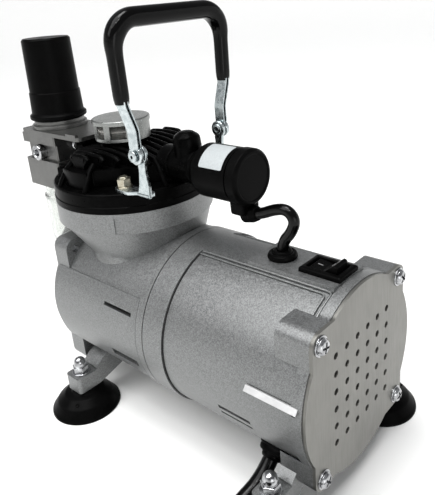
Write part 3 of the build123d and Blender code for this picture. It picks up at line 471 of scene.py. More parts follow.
def prism(outline, height, where, edge=0.0, base=0.0, steps=4, segments=2):
    """A flat outline pulled up along its own +Z, with rounded rims."""
    bm = bmesh.new()
    bm.faces.new([bm.verts.new((a, b, base)) for a, b in rounded(outline, steps=steps)])
    pulled_up(bm, height)
    bmesh.ops.recalc_face_normals(bm, faces=bm.faces)
    if edge:
        soften(bm, edge, segments)
    bm.transform(where)
    return bm


def oblong(half_a, half_b, radius):
    """A rounded rectangle's outline."""
    return [(a * half_a, b * half_b, radius) for a, b in ((-1, -1), (1, -1), (1, 1), (-1, 1))]


def hexagon(across, radius=0.3):
    reach = across / sqrt(3)
    return [(reach * cos(pi * i / 3), reach * sin(pi * i / 3), radius) for i in range(6)]


def circle(r, steps=20, power=2.0):
    """A round section; a power above 2 squares it off."""
    points = []
    for i in range(steps):
        c, s = cos(2 * pi * i / steps), sin(2 * pi * i / steps)
        fit = (abs(c) ** power + abs(s) ** power) ** (-1 / power)
        points.append((r * fit * c, r * fit * s))
    return points


def stacked(layers, where):
    """A closed skin through outlines of equal length, each given as (outline, height)."""
    bm = bmesh.new()
    rings = [[bm.verts.new((a, b, h)) for a, b in outline] for outline, h in layers]
    skin(bm, rings)
    bm.faces.new(rings[0])
    bm.faces.new(rings[-1])
    return finished(bm, where)


def resampled(points, step):
    """The same line with even steps."""
    line = [Vector(p) for p in points]
    fine = [line[0]]
    for a, b in zip(line, line[1:]):
        pieces = max(1, round((b - a).length / step))
        fine += [a.lerp(b, (i + 1) / pieces) for i in range(pieces)]
    return fine


def mirrored(bm):
    """A copy across the middle plane, from a part that is already in the frame."""
    other = bm.copy()
    other.transform(Matrix.Scale(-1, 4, (1, 0, 0)))
    bmesh.ops.reverse_faces(other, faces=other.faces)
    return other


def both_sides(parts):
    return [*parts, *(mirrored(part) for part in parts)]


def moved(bm, where):
    """A copy of a part drawn in mm, at its place."""
    other = bm.copy()
    other.transform(where)
    return other


def swept(path, section, where, side=(0, 1, 0), scales=None):
    """Carries a section along a path; side is the direction of the section's first axis."""
    bm = bmesh.new()
    points = [Vector(p) for p in path]
    rings = []
    for i, point in enumerate(points):
        forward = (points[min(i + 1, len(points) - 1)] - points[max(i - 1, 0)]).normalized()
        across = Vector(side) - forward * forward.dot(Vector(side))
        across.normalize()
        other = forward.cross(across)
        scale = scales[i] if scales else 1.0
        rings.append([bm.verts.new(point + (across * a + other * b) * scale) for a, b in section])
    skin(bm, rings)
    bm.faces.new(rings[0])
    bm.faces.new(rings[-1])
    return finished(bm, where)


def merged(parts):
    """Several bmeshes as one; each is a bmesh or a (bmesh, material number) pair."""
    whole = bmesh.new()
    for part in parts:
        bm, number = part if isinstance(part, tuple) else (part, 0)
        for face in bm.faces:
            face.material_index = number
        loan = bpy.data.meshes.new("loan")
        bm.to_mesh(loan)
        bm.free()
        whole.from_mesh(loan)
        bpy.data.meshes.remove(loan)
    return whole


def as_object(name, bm, slots, crease=32):
    mesh = bpy.data.meshes.new(name)
    bm.to_mesh(mesh)
    bm.free()
    for slot in slots:
        mesh.materials.append(materials[slot])
    mesh.shade_smooth()
    mesh.set_sharp_from_angle(angle=radians(crease))
    return placed(name, mesh)


def piece(name, parts, slots, node=None, body="frame", crease=32):
    """A finished piece on its body, shown for a CAD node; slots are what the parts' numbers mean."""
    obj = as_object(name, merged(parts), slots, crease)
    weighted = obj.modifiers.new("normals", "WEIGHTED_NORMAL")
    weighted.keep_sharp = True
    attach(obj, body)
    if node:
        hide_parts(node)
    return obj


def carved(bm, cutters):
    """The part with the cutters taken away."""
    whole = as_object("whole", bm, [])
    tool = as_object("tool", merged(cutters), [])
    cut = whole.modifiers.new("cut", "BOOLEAN")
    cut.object = tool
    cut.operation = "DIFFERENCE"
    cut.solver = "EXACT"
    bpy.context.view_layer.update()
    shown = whole.evaluated_get(bpy.context.evaluated_depsgraph_get())
    result = bmesh.new()
    result.from_mesh(shown.to_mesh())
    shown.to_mesh_clear()
    bpy.data.objects.remove(whole)
    bpy.data.objects.remove(tool)
    return result


# ---- the power cord, its coil and its plug ----
CORD_R = 3.5
BENCH_CORD_Z = BENCH_Z + CORD_R
CORD_ROUTE = [
    (-35.03, 25.0, -33.83), (-41.5, 25.4, -40.08), (-54.0, 27.0, -43.1), (-65.0, 29.6, -48.0),
    (-76.5, 32.4, BENCH_CORD_Z), (-88.0, 34.0, BENCH_CORD_Z), (-98.0, 33.6, BENCH_CORD_Z),
    (-106.0, 32.5, BENCH_CORD_Z), (-113.0, 32.1, BENCH_CORD_Z),
]
COIL_X = -118.0
COIL_Y = -10.0
COIL_OUT_R = 42.0
COIL_TURNS = 4
TURN_STEP = 15
PLUG_X = COIL_X + 32.0
PLUG_LINE_Y = COIL_Y - COIL_OUT_R
PLUG_AXIS_Z = BENCH_Z + 7.5


def eased(angle, start):
    """0 before an angle and 1 after the next 45 degrees, smoothly between."""
    t = min(1.0, max(0.0, (angle - start) / 45))
    return t * t * (3 - 2 * t)


def coil_points():
    """In through the rows of the lower layer, up, and out through the rows of the upper one."""
    pitch = 2 * CORD_R
    first, last = 94, 269 + 360 * (2 * COIL_TURNS - 1)
    points = []
    for angle in range(first, last + 1, TURN_STEP):
        turned = angle - first
        inward = sum(eased(turned, 290 + 360 * k) for k in range(COIL_TURNS - 1))
        outward = sum(eased(turned, 190 + 360 * k) for k in range(COIL_TURNS, 2 * COIL_TURNS - 1))
        raised = eased(turned, 240 + 360 * (COIL_TURNS - 1))
        r = COIL_OUT_R - pitch * (inward - outward)
        a = radians(angle)
        points.append((COIL_X + r * cos(a), COIL_Y + r * sin(a), BENCH_CORD_Z + pitch * raised))
    return points


def add_cord(name, points, r, nodes, resolution=6):
    """A round cord on one smooth spline with these control points, in mm."""
    data = bpy.data.curves.new(name, "CURVE")
    data.dimensions = "3D"
    data.bevel_depth = r * MM
    data.bevel_resolution = 5
    data.resolution_u = resolution
    data.use_fill_caps = True
    spline = data.splines.new("NURBS")
    spline.points.add(len(points) - 1)
    for spot, point in zip(spline.points, points):
        spot.co = (*at(*point), 1.0)
    spline.order_u = 3
    spline.use_endpoint_u = True
    data.materials.append(materials["cable_black"])
    cord = placed(name, data)
    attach(cord, "frame")
    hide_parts(*nodes)
    return cord


def blade(x):
    """One flat contact blade with its hole, standing along +Z."""
    outline = [(-3.1, 0), (3.1, 0), (3.1, 16.2, 1.2), (2.2, 18, 0.8), (-2.2, 18, 0.8), (-3.1, 16.2, 1.2)]
    flat = prism(outline, 1.6, STILL, edge=0.25)
    hole = lathe([(0, -1), (1.1, -1), (1.1, 3), (0, 3)], shift(0, 12.5, 0), 24)
    flat = carved(flat, [hole])
    upright = turn(90, "Z") @ turn(90, "X")
    flat.transform(shift(x - 0.8, 0, 39.0) @ upright)
    return flat


def add_plug():
    """A moulded two-pin plug lying beside the coil, pins away from the cord."""
    where = seat(PLUG_X, PLUG_LINE_Y, PLUG_AXIS_Z, "X", spin=90)
    boot_heights = (0, 1.2, 2.0, 3.2, 4.0, 5.2, 6.0, 7.2, 8.0, 9.2, 10.0, 13.5)
    boot_radii = (3.6, 4.2, 3.5, 4.6, 3.8, 5.0, 4.1, 5.3, 4.4, 5.6, 5.0, 5.8)
    boot = lathe([(0, 0), *zip(boot_radii, boot_heights), (0, 13.5)], where, 40)
    heights = (12.0, 12.6, 14.0, 17.0, 20.0, 24.0, 28.0, 32.0, 36.0, 38.6, 39.6, 40.0)
    widths = (5.2, 6.4, 7.4, 8.3, 8.0, 7.6, 7.9, 8.6, 8.9, 8.9, 8.5, 7.8)
    squarish = circle(1.0, 40, 3.2)
    layers = [([(w * a, min(7.4, 0.9 * w) * b) for a, b in squarish], h) for h, w in zip(heights, widths)]
    body = stacked(layers, where)
    ridges = []
    for side in (-1, 1):
        for i in range(4):
            ends = [(a, side * 6.85, 20.5 + 2.6 * i) for a in (-3.6, 3.6)]
            ridges.append(swept(ends, circle(0.75, 10), where, side=(0, 0, 1)))
    pins = []
    for x in (-6.35, 6.35):
        pin = blade(x)
        pin.transform(where)
        pins.append((pin, 1))
    return piece(
        "mains_plug", [boot, body, *ridges, *pins], ["cable_black", "screw_zinc"], "cord_plug"
    )


RELIEF_ANGLE = -44.0
RELIEF_SINK = 1.3


def relief_seat():
    """On the housing's lower -X side at the cord's exit, +Z straight out of it."""
    outward = turn(-(90 - RELIEF_ANGLE), "Y")
    a = radians(RELIEF_ANGLE)
    reach = BODY_R - RELIEF_SINK
    return seat(-reach * cos(a), CORD_ROUTE[0][1], reach * sin(a)) @ outward


def add_strain_relief():
    """A long oval bush in the housing wall, with a collar and a clip slot round the cord."""
    where = relief_seat() @ shift(0, -1.0, 0)
    oval = [(a, 1.55 * b) for a, b in circle(1.0, 56, 2.8)]
    layers = (
        (-1.5, 5.1), (0.4, 5.3), (0.9, 5.1), (1.2, 4.8), (1.6, 4.9), (3.0, 4.8), (3.7, 4.4), (4.0, 3.6),
        (4.05, 2.0),
    )
    bush = stacked([([(r * a, r * b) for a, b in oval], h) for h, r in layers], where)
    slot = prism(oblong(0.55, 2.6, 0.5), 0.3, where @ shift(3.2, 2.2, 3.75), edge=0.1)
    collar = hollow([(3.5, 3.4), (4.6, 3.4), (4.6, 4.9, 0.5), (4.1, 5.9, 0.4), (3.5, 6.0)], relief_seat(), 40)
    return piece("cord_bush", [bush, slot, collar], ["grommet_rubber"], "strain_relief")


def add_power_cord():
    points = CORD_ROUTE + coil_points()
    points += [
        (COIL_X + 10.0, PLUG_LINE_Y, BENCH_Z + 8.7), (COIL_X + 21.0, PLUG_LINE_Y, BENCH_Z + 7.8),
        (PLUG_X + 0.5, PLUG_LINE_Y, PLUG_AXIS_Z),
    ]
    cord = add_cord("mains_cord", points, CORD_R, ["power_cord", "cord_coil"])
    add_plug()
    add_strain_relief()


add_camera()
add_power_cord()


# ---- fasteners ----
SCREW_AT = 32.0
COVER_FACE = high("crankcase_cover").y


def cross(reach, half):
    """The outline of a cross recess."""
    corner = [(reach, -half), (reach, half), (half, half)]
    outline = []
    for quarter in range(4):
        swing = Matrix.Rotation(radians(90 * quarter), 2)
        outline += [tuple(swing @ Vector(p)) for p in corner]
    return outline


def pan_screw():
    """A plated pan-head screw with a washer and a cross recess, its seat at z = 0."""
    washer = hollow([(2, 0), (4.3, 0), (4.3, 0.6, 0.25), (2, 0.6)], STILL, 40)
    head = lathe([(0, 0.5), (3.5, 0.5), (3.6, 1.2, 0.3), (2.7, 2.5, 1.3), (0, 2.75)], STILL, 48)
    head = carved(head, [prism(cross(2.3, 0.5), 3, STILL, base=1.3)])
    shank = lathe([(0, -11), (2, -11), (2, 0.7), (0, 0.7)], STILL, 24)
    return merged([washer, head, shank])


def add_housing_screws():
    screw = pan_screw()
    parts = []
    for sx, sz in CORNERS:
        spin = 31 * sx + 17 * sz
        parts.append(moved(screw, seat(sx * SCREW_AT, 0, sz * SCREW_AT, "-Y", spin)))
        parts.append(moved(screw, seat(sx * SCREW_AT, COVER_FACE, sz * SCREW_AT, "Y", spin + 20)))
    piece("cross_head_screws", parts, ["screw_zinc"], "housing_screws")


def add_foot_nuts():
    """Flanged dome nuts on the legs' pads."""
    base = low("foot_nuts").z
    parts = []
    for y in FOOT_YS:
        for sx in (-1, 1):
            where = seat(sx * FOOT_X, y, base, spin=20 * sx + y)
            flange = [(2.4, 0), (4.9, 0, 0.2), (4.9, 0.8, 0.3), (3.7, 1.1), (2.4, 1.1)]
            parts.append(hollow(flange, where, 48))
            parts.append(prism(hexagon(7.6, 0.4), 3.6, where, edge=0.4, base=0.9))
            dome = [(0, 4.3), (3.5, 4.3), (3.5, 4.9, 0.3), (3.3, 5.1), (3.3, 9.4, 3.28), (0, 9.4)]
            parts.append(lathe(dome, where, 48))
    piece("dome_nuts", parts, ["screw_zinc"], "foot_nuts")


BOLT_AT = 25.5
HEAD_LOW = low("cylinder_head").z
HEAD_RIM = HEAD_LOW + 10.0
BRACKET_T = 1.8


def add_head_bolts():
    parts = []
    for sx, sy in CORNERS:
        on_bracket = sy < 0
        base = HEAD_RIM + BRACKET_T * on_bracket
        where = seat(sx * BOLT_AT, HEAD_Y + sy * BOLT_AT, base, spin=13 * sx)
        washer = lathe([(0, 0), (3.8, 0, 0.1), (3.8, 1.0, 0.35), (0, 1.0)], where, 40)
        head = prism(hexagon(6.2, 0.3), 3.6, where, edge=0.4, base=1.0)
        crown = lathe([(0, 4.4), (2.4, 4.4, 0.2), (2.1, 5.6, 0.5), (0, 5.6)], where, 32)
        parts += [(part, 0 if on_bracket else 1) for part in (washer, head, crown)]
    piece("hex_bolts", parts, ["bolt_yellow", "head_black"], "head_bolts")


# ---- cylinder head ----
FIN_TOP = 87.0
FIN_PITCH = 5.2
CORNER_REACH = 27.4
CORNER_HALF = 16.5
CAP_Y = 143.0


def fin(x):
    """One rounded rib along Y that dips towards both ends."""
    half = min(sqrt(36.6 ** 2 - x * x), CORNER_REACH * sqrt(2) - abs(x))
    steps = max(8, round(half / 1.5))
    path = []
    for i in range(-steps, steps + 1):
        y = half * i / steps
        rolled = max(0.0, abs(y) - (half - 2.4)) / 2.4
        path.append((x, HEAD_Y + y, FIN_TOP - 7.0 * (y / 34.0) ** 2 - 1.3 * rolled ** 2))
    section = rounded([(-1.25, 0, 1.2), (1.25, 0, 1.2), (1.45, 9), (-1.45, 9)], steps=4)
    return swept(path, section, seat(), side=(1, 0, 0))


def drum_outline():
    """A round drum with a flat recess for each corner bolt."""
    outline = []
    for quarter in range(4):
        swing = Matrix.Rotation(radians(90 * quarter), 2)
        for angle in range(-16, 17, 4):
            outline.append(swing @ Vector((37.0 * cos(radians(angle)), 37.0 * sin(radians(angle)))))
        diagonal = swing @ Matrix.Rotation(radians(45), 2)
        for side in (-1, 1):
            outline.append(diagonal @ Vector((CORNER_REACH, side * CORNER_HALF)))
    return [tuple(p) for p in outline]


def add_pump_head():
    where = seat(0, HEAD_Y, 0)
    flange = lathe([
        (0, HEAD_LOW + 2.2), (33.2, HEAD_LOW + 2.2), (33.2, HEAD_LOW), (41.8, HEAD_LOW, 0.4),
        (41.8, HEAD_LOW + 3.2, 0.2), (41.4, HEAD_LOW + 3.5), (41.4, HEAD_RIM, 1.2), (0, HEAD_RIM),
    ], where, 120)
    core = prism(drum_outline(), 9.2, where, edge=0.7, base=HEAD_RIM - 0.2)
    parts = [flange, core]
    count = int(34.0 / FIN_PITCH)
    parts += [fin(i * FIN_PITCH) for i in range(-count, count + 1)]
    for quarter in range(4):
        for side in (-1, 1):
            a = radians(90 * quarter + 45 + side * 29.5)
            line = ((39.6, -0.2), (38.2, 2.6), (34.4, 8.4), (30.6, 11.6))
            path = [(r * cos(a), HEAD_Y + r * sin(a), HEAD_RIM + h) for r, h in line]
            parts.append(swept(path, circle(1.35, 14, 2.6), seat(), side=(-sin(a), cos(a), 0)))
    boss = [(0, HEAD_RIM), (12.5, HEAD_RIM), (12.5, 91.9, 0.8), (0, 91.9)]
    parts.append(lathe(boss, seat(0, CAP_Y, 0), 48))
    joins = ((8.9, high("switch_elbow").y), (7.5, low("inlet_nipple").y - 8.0))
    for r, y in joins:
        parts.append(lathe([(0, 0), (r, 0, 0.6), (r, 8, 0.6), (0, 8)], seat(0, y, SWITCH_AXIS_Z, "Y"), 40))
    piece("pump_head", parts, ["head_black"], "cylinder_head")


# ---- feet ----
def add_suction_cups():
    """Moulded rubber cups: a flat hub, a dome that flares to a thin lip, and a small pip."""
    profile = [
        (0, 11.0), (6.4, 11.0, 0.4), (7.2, 10.1, 0.8), (10.6, 9.3, 3.0), (14.9, 6.1, 5.0), (17.5, 2.4, 2.0),
        (18.5, 1.2, 0.5), (18.7, 0.0, 0.25), (17.4, 0.0, 0.2), (15.0, 2.6, 3.0), (10.0, 5.8, 3.0),
        (4.0, 7.4, 1.0), (0, 7.6),
    ]
    parts = []
    for y in FOOT_YS:
        for sx in (-1, 1):
            where = seat(sx * FOOT_X, y, BENCH_Z, spin=215 if sx < 0 else -35)
            parts.append(lathe(profile, where, 72))
            pip = shift(12.2, 0, 7.6) @ turn(40, "Y")
            ring = [(0.45, 0.2), (1.2, 0.0, 0.2), (1.15, 0.9, 0.3), (0.45, 0.75, 0.1)]
            parts.append(hollow(ring, where @ pip, 20))
    piece("rubber_cups", parts, ["cup_rubber"], "suction_cups", crease=50)


# ---- carrying handle ----
STRIP_X = 28.6
LEG_X = 33.2
GRIP_Z = high("handle_grip").z - 4.3
SLEEVE_Z = low("handle_grip").z


def upright(x_z_points):
    """Points of the handle's own plane, from (x, z)."""
    return [(x, PIVOT_Y, z) for x, z in x_z_points]


def add_handle_grip():
    """A glossy sleeve, slim on the legs and thick across the hand."""
    line = rounded(
        [(-LEG_X + 0.7, SLEEVE_Z), (-LEG_X, GRIP_Z, 12), (LEG_X, GRIP_Z, 12), (LEG_X - 0.7, SLEEVE_Z)],
        closed=False, steps=14,
    )
    line = resampled([Vector((x, z)) for x, z in line], 2.0)
    scales = []
    for i, point in enumerate(line):
        t = min(1.0, max(0.0, (point.y - (GRIP_Z - 16)) / 13))
        scale = 3.3 + 1.0 * t * t * (3 - 2 * t)
        from_end = min(i, len(line) - 1 - i)
        scales.append(scale * (0.88, 0.97)[from_end] if from_end < 2 else scale)
    path = upright([(p.x, p.y) for p in line])
    path[0] = (path[0][0], PIVOT_Y, SLEEVE_Z)
    grip = swept(path, circle(1.0, 32, 2.5), seat(), scales=scales)
    piece("handle_sleeve", [grip], ["grip_pvc"], "handle_grip", "handle", crease=60)


def add_handle_strips():
    """Rolled zinc channels, joggled outwards, with a ringed eye at each hinge."""
    channel = rounded([
        (3, -1.3, 0.4), (3, 1.3, 0.4), (-3, 1.3, 0.3), (-3, 0.6, 0.15), (1.5, 0.6), (1.5, -0.6),
        (-3, -0.6, 0.15), (-3, -1.3, 0.3),
    ], steps=3)
    line = rounded([
        (-STRIP_X, PIVOT_Z + 3.2), (-STRIP_X, 103.0, 9), (-LEG_X + 0.7, SLEEVE_Z - 0.6, 9),
        (-LEG_X + 0.6, SLEEVE_Z + 4),
    ], closed=False, steps=8)
    strip = swept(upright([(p.x, p.y) for p in line]), [tuple(p) for p in channel], seat())
    eye_seat = seat(-STRIP_X, PIVOT_Y, PIVOT_Z, "X")
    eye = hollow([(1.9, -1.2, 0.3), (4.4, -1.3, 0.9), (4.4, 1.3, 0.9), (1.9, 1.2, 0.3)], eye_seat, 48)
    piece("handle_strips", both_sides([strip, eye]), ["handle_zinc"], "handle_frame", "handle")


def add_handle_brackets():
    """Pressed brackets: a foot under the head bolt, folded up to a narrow neck and a round eye."""
    foot = prism([
        (-26.9, 94.2, 0.8), (-22.0, 94.2, 2.5), (-21.5, 118.2, 3.8), (-29.6, 118.2, 3.8), (-29.6, 106.5, 2.5),
        (-26.9, 103.0, 2.0),
    ], BRACKET_T, seat(), edge=0.35, base=HEAD_RIM)
    outline = [
        (-71.0, -3.3), (-71.0, 5.2), (-76.5, 3.2, 5), (-84.0, 2.1, 8), (-PIVOT_Z + 3.4, 2.6, 1),
        (-PIVOT_Z + 2, -2.8, 1), (-84.0, -2.2, 8), (-76.0, -3.3, 6),
    ]
    neck = prism(outline, BRACKET_T, seat(-26.9, PIVOT_Y, 0, "X"), edge=0.35)
    fold = swept([(-26.0, 94.6, 71.6), (-26.0, 102.4, 71.6)], circle(1.25, 16), seat(), side=(1, 0, 0))
    eye_seat = seat(-26.0, PIVOT_Y, PIVOT_Z, "X")
    eye = hollow([(1.7, -0.9, 0.2), (4.2, -0.9, 0.5), (4.2, 0.9, 0.5), (1.7, 0.9, 0.2)], eye_seat, 48)
    parts = both_sides([foot, neck, fold, eye])
    piece("hinge_brackets", parts, ["handle_zinc"], "handle_brackets")


def add_handle_pins():
    """Tubular rivets, rolled over at both ends."""
    where = seat(-28.1, PIVOT_Y, PIVOT_Z, "X")
    rivet = hollow([
        (0.8, -3.4), (1.5, -3.5, 0.3), (2.8, -3.2, 0.4), (2.7, -2.6, 0.2), (1.6, -2.6), (1.6, 3.1),
        (2.7, 3.1, 0.2), (2.8, 3.6, 0.4), (1.5, 3.9, 0.3), (0.8, 3.8),
    ], where, 40)
    piece("hinge_rivets", both_sides([rivet]), ["handle_zinc"], "handle_pins")


# ---- rocker switch ----
SWITCH_YS = (low("switch_bezel").y, high("switch_bezel").y)
ROCK_Y = sum(SWITCH_YS) / 2
PAD_TOP = high("switch_bezel").z - 2.3


def plate_outline(half_x, half_y, r=0.5):
    """A rounded rectangle as a closed outline of fixed length, for stacking."""
    return [tuple(p) for p in rounded(oblong(half_x, half_y, r), steps=4)]


def add_switch_bezel():
    layers = (
        (6.2, 8.6, -13.0), (6.2, 8.6, 0.0), (7.5, 10.2, 0.05), (7.5, 10.2, 1.2), (7.35, 10.05, 1.75),
        (6.9, 9.6, 2.15), (6.3, 9.0, 2.3), (5.25, 8.1, 2.3), (5.0, 7.85, 2.1), (5.0, 7.85, -9.0),
    )
    where = seat(0, ROCK_Y, PAD_TOP)
    body = stacked([(plate_outline(half_x, half_y), h) for half_x, half_y, h in layers], where)
    piece("switch_frame", [body], ["switch_black"], "switch_bezel")


def add_rocker():
    """The key: a steep ramp that stands up at the -Y end, a shallow one at the other."""
    outline = [
        (-43.2, -6.6, 0.4), (-49.3, -6.7, 0.5), (-49.85, -5.3, 0.5), (-45.9, -0.4, 2.5), (-46.6, 6.7, 0.5),
        (-42.4, 6.8, 0.4), (-40.2, 2.8), (-40.2, -2.8),
    ]
    key = prism(outline, 9.3, seat(-4.65, ROCK_Y, 0, "X"), edge=0.4, steps=6, segments=3)
    line = prism(oblong(0.28, 1.3, 0.25), 0.12, seat(0, ROCK_Y + 3.6, 46.32) @ turn(5, "X"))
    low_ring = [(0.75, 0), (1.05, 0), (1.05, 0.12), (0.75, 0.12)]
    ring = hollow(low_ring, seat(0, ROCK_Y - 3.0, 47.98) @ turn(-38.5, "X"), 28)
    parts = [key, (line, 1), (ring, 1)]
    piece("rocker_key_cap", parts, ["switch_black", "mark_grey"], "rocker", "rocker_key")


# ---- lead and grommet ----
LEAD_R = 2.6
LEAD_ROUTE = [
    (0, 57.0, 61.6), (0, 50.5, 63.2), (0, 43.5, 66.6), (0, 36.4, 68.2), (0, 32.2, 63.6), (0, 35.0, 57.2),
    (0, 39.2, 52.6), (0, 40.0, 47.6),
]
GROMMET_Y = 40.0


def add_lead():
    add_cord("switch_cable", LEAD_ROUTE, LEAD_R, ["switch_lead"], resolution=12)


def add_grommet():
    """A rolled rubber rim round a short raised collar."""
    profile = [
        (2.65, 40.0), (4.4, 40.0), (4.4, 44.6), (6.5, 44.6, 0.3), (6.9, 45.6, 0.8), (6.3, 47.2, 0.9),
        (5.2, 47.3, 0.6), (4.7, 46.9, 0.2), (4.1, 48.3, 0.6), (2.65, 48.4, 0.3),
    ]
    rim = hollow(profile, seat(0, GROMMET_Y, 0), 56)
    piece("wall_grommet", [rim], ["grommet_rubber"], "lead_grommet", crease=60)


# ---- pressure switch ----
def add_pressure_switch():
    where = seat(0, 0, SWITCH_AXIS_Z, "Y")
    seam = 60.1
    cap = lathe([
        (0, 54.35), (10.5, 54.35, 0.2), (10.8, 54.0, 0.2), (11.9, 54.0, 0.5), (13.15, 55.2, 0.9),
        (13.2, seam - 0.5, 0.3), (12.8, seam - 0.1, 0.2), (12.4, seam), (0, seam),
    ], where, 80)
    boss_where = seat(0, 60.4, 62.0)
    boss_layers = ((5.0, 3.2, 0.0), (5.7, 3.8, 0.5), (5.9, 4.0, 1.4), (6.1, 4.1, 7.5))
    boss = stacked([(plate_outline(a, b, 1.2), h) for a, b, h in boss_layers], boss_where)
    sleeve = lathe([
        (0, -2), (4.1, -2), (4.1, 2.6, 0.4), (3.3, 5.4, 0.5), (2.7, 5.6), (0, 5.6),
    ], seat(0, 58.0, 61.7, "-Y") @ turn(-12, "X"), 32)
    piece("switch_cap", [cap, boss, sleeve], ["pressure_switch_black"], "pressure_switch_cap")
    body = lathe([
        (0, seam), (12.3, seam), (12.3, seam + 0.5), (12.8, seam + 0.7, 0.15), (12.8, 80.6, 2.0),
        (10.4, 84.3, 0.9), (9.3, 84.6, 0.2), (8.9, 85.0, 0.2), (8.7, 87.2), (0, 87.2),
    ], where, 80)
    piece("switch_barrel", [body], ["pressure_switch_black"], "pressure_switch_body")


def add_elbow():
    """The port fitting: a barrel towards the head under a broad round dome."""
    y0, y1 = low("switch_elbow").y, high("switch_elbow").y
    where = seat(0, y0, SWITCH_AXIS_Z, "Y")
    barrel = hollow([(3.5, 0), (8.6, 0, 0.6), (8.6, y1 - y0, 0.6), (3.5, y1 - y0)], where, 48)
    top = high("switch_elbow").z
    dome = lathe([
        (0, SWITCH_AXIS_Z + 4), (7.0, SWITCH_AXIS_Z + 4), (6.9, top - 7.0, 2.0), (6.4, top - 2.6, 2.6),
        (3.2, top - 0.4, 3.0), (0, top),
    ], seat(0, (y0 + y1) / 2, 0), 48)
    piece("port_elbow", [barrel, dome], ["head_black"], "switch_elbow", crease=50)


def add_label():
    """A blank paper sticker laid round the switch's body, with rounded corners."""
    r = 12.9
    y0, y1 = 62.5, 76.2
    a0, a1 = radians(90), radians(156)
    bm = bmesh.new()
    flat = rounded([(y0, a0 * r, 0.8), (y1, a0 * r, 0.8), (y1, a1 * r, 0.8), (y0, a1 * r, 0.8)])
    bm.faces.new([bm.verts.new((y, arc, 0)) for y, arc in flat])
    for i in range(1, 24):
        arc = r * (a0 + (a1 - a0) * i / 24)
        everything = bm.verts[:] + bm.edges[:] + bm.faces[:]
        bmesh.ops.bisect_plane(bm, geom=everything, plane_co=(0, arc, 0), plane_no=(0, 1, 0))
    pulled_up(bm, 0.12)
    for v in bm.verts:
        y, arc, lift = v.co
        v.co = ((r + lift) * cos(arc / r), y, SWITCH_AXIS_Z + (r + lift) * sin(arc / r))
    piece("switch_sticker", [finished(bm, seat())], ["label_white"], "switch_label")


# ---- regulator ----
def ribbed_tube(r, groove, start, stop, pitch):
    """Radii and heights of a thread drawn as close rings."""
    count = int((stop - start) / pitch)
    points = []
    for i in range(count):
        points += [(r - groove, start + i * pitch), (r, start + (i + 0.5) * pitch)]
    return points + [(r - groove, start + count * pitch)]


def add_knob():
    base = low("regulator_knob").z
    profile = [
        (0, 116.0), (10.8, 116.0), (10.8, base), (15.9, base, 0.2), (16.25, base + 0.5, 0.3),
        (16.25, base + 2.2, 0.5), (15.2, base + 3.0, 0.5), (14.85, base + 3.6, 0.3), (14.45, 109.7, 0.15),
        (14.15, 110.0), (14.0, 110.4, 0.1), (13.5, 138.9, 0.9), (12.6, 140.0, 0.5), (0, 140.0),
    ]
    knob = lathe(profile, seat(0, REG_Y, 0), 96)
    piece("pressure_knob", [knob], ["knob_black"], "regulator_knob", "knob")


def add_ring_nut():
    base = low("ring_nut").z
    profile = [
        (9.95, base), (15.8, base, 0.2), (15.8, base + 2.2, 0.35), (14.9, base + 2.35), (14.9, base + 2.7),
        (14.4, base + 2.9, 0.1), (14.4, base + 4.8, 0.4), (9.95, base + 4.8),
    ]
    nut = hollow(profile, seat(0, REG_Y, 0), 72)
    piece("turned_ring_nut", [nut], ["regulator_alloy"], "ring_nut")


def add_side_plug():
    reach = high("side_plug").x
    where = seat(reach - 4.0, REG_Y, PLUG_Z, "-X")
    face = reach - 4.0 - low("side_plug").x
    body = lathe([(0, -4), (3, -4), (3, 0), (4.6, 0, 0.2), (4.6, face, 0.7), (0, face)], STILL, 48)
    socket = prism(hexagon(4.2, 0.1), 4, STILL, base=face - 2.6)
    dish = lathe([(0, face - 0.5), (2.9, face - 0.5, 0.1), (3.5, face + 1), (0, face + 1)], STILL, 40)
    body = carved(carved(body, [socket]), [dish])
    body.transform(where)
    piece("port_plug", [body], ["screw_zinc"], "side_plug")


def add_nipples():
    y0 = low("inlet_nipple").y
    y1 = high("inlet_nipple").y
    where = seat(0, y0, SWITCH_AXIS_Z, "Y")
    tube = hollow([(2.0, 0), *ribbed_tube(4.2, 0.35, 0.0, y1 - y0, 1.0), (2.0, y1 - y0)], where, 48)
    nut = prism(hexagon(10.0, 0.3), 4.0, where, edge=0.4, base=1.2)
    piece("union_nut", [tube, nut], ["screw_zinc"], "inlet_nipple")
    y0 = low("outlet_nipple").y
    length = high("outlet_nipple").y - y0
    where = seat(0, y0, middle("outlet_nipple", Z), "Y")
    thread = ribbed_tube(4.86, 0.5, 6.6, length - 0.9, 0.94)
    tube = hollow([(2.2, 0), (4.2, 0), (4.2, 6.4), *thread, (3.9, length), (2.2, length)], where, 48)
    nut = prism(hexagon(13.0, 0.4), 6.4, where, edge=0.5)
    piece("air_outlet_nipple", [tube, nut], ["regulator_alloy"], "outlet_nipple")


def add_bowl():
    """A clear bowl with a moulded collar, a band of ribs and a thick rounded bottom."""
    top = high("trap_bowl").z
    base = low("trap_bowl").z
    profile = [
        (2.6, base), (9.0, base, 1.0), (14.0, base + 2.2, 4.0), (16.2, base + 7.5, 4.0),
        (16.2, 45.5, 0.3), (16.5, 46.0, 0.2), (16.5, 48.0, 0.3), (15.4, 48.6), (15.4, top), (13.4, top),
        (13.4, 48.0), (14.2, 46.0, 1.0), (14.0, 4.4, 4.0), (12.0, 1.0, 2.0), (8.5, -1.2, 1.0),
        (2.6, -1.2),
    ]
    where = seat(0, REG_Y, 0)
    parts = [hollow(profile, where, 72)]
    for i in range(12):
        a = 2 * pi * (i + 0.5) / 12
        ends = [(16.05 * cos(a), 16.05 * sin(a), h) for h in (6.0, 13.0)]
        parts.append(swept([(x, y + REG_Y, z) for x, y, z in ends], circle(0.4, 10), seat(), side=(1, 0, 0)))
    piece("clear_bowl", parts, ["bowl_clear"], "trap_bowl", crease=50)


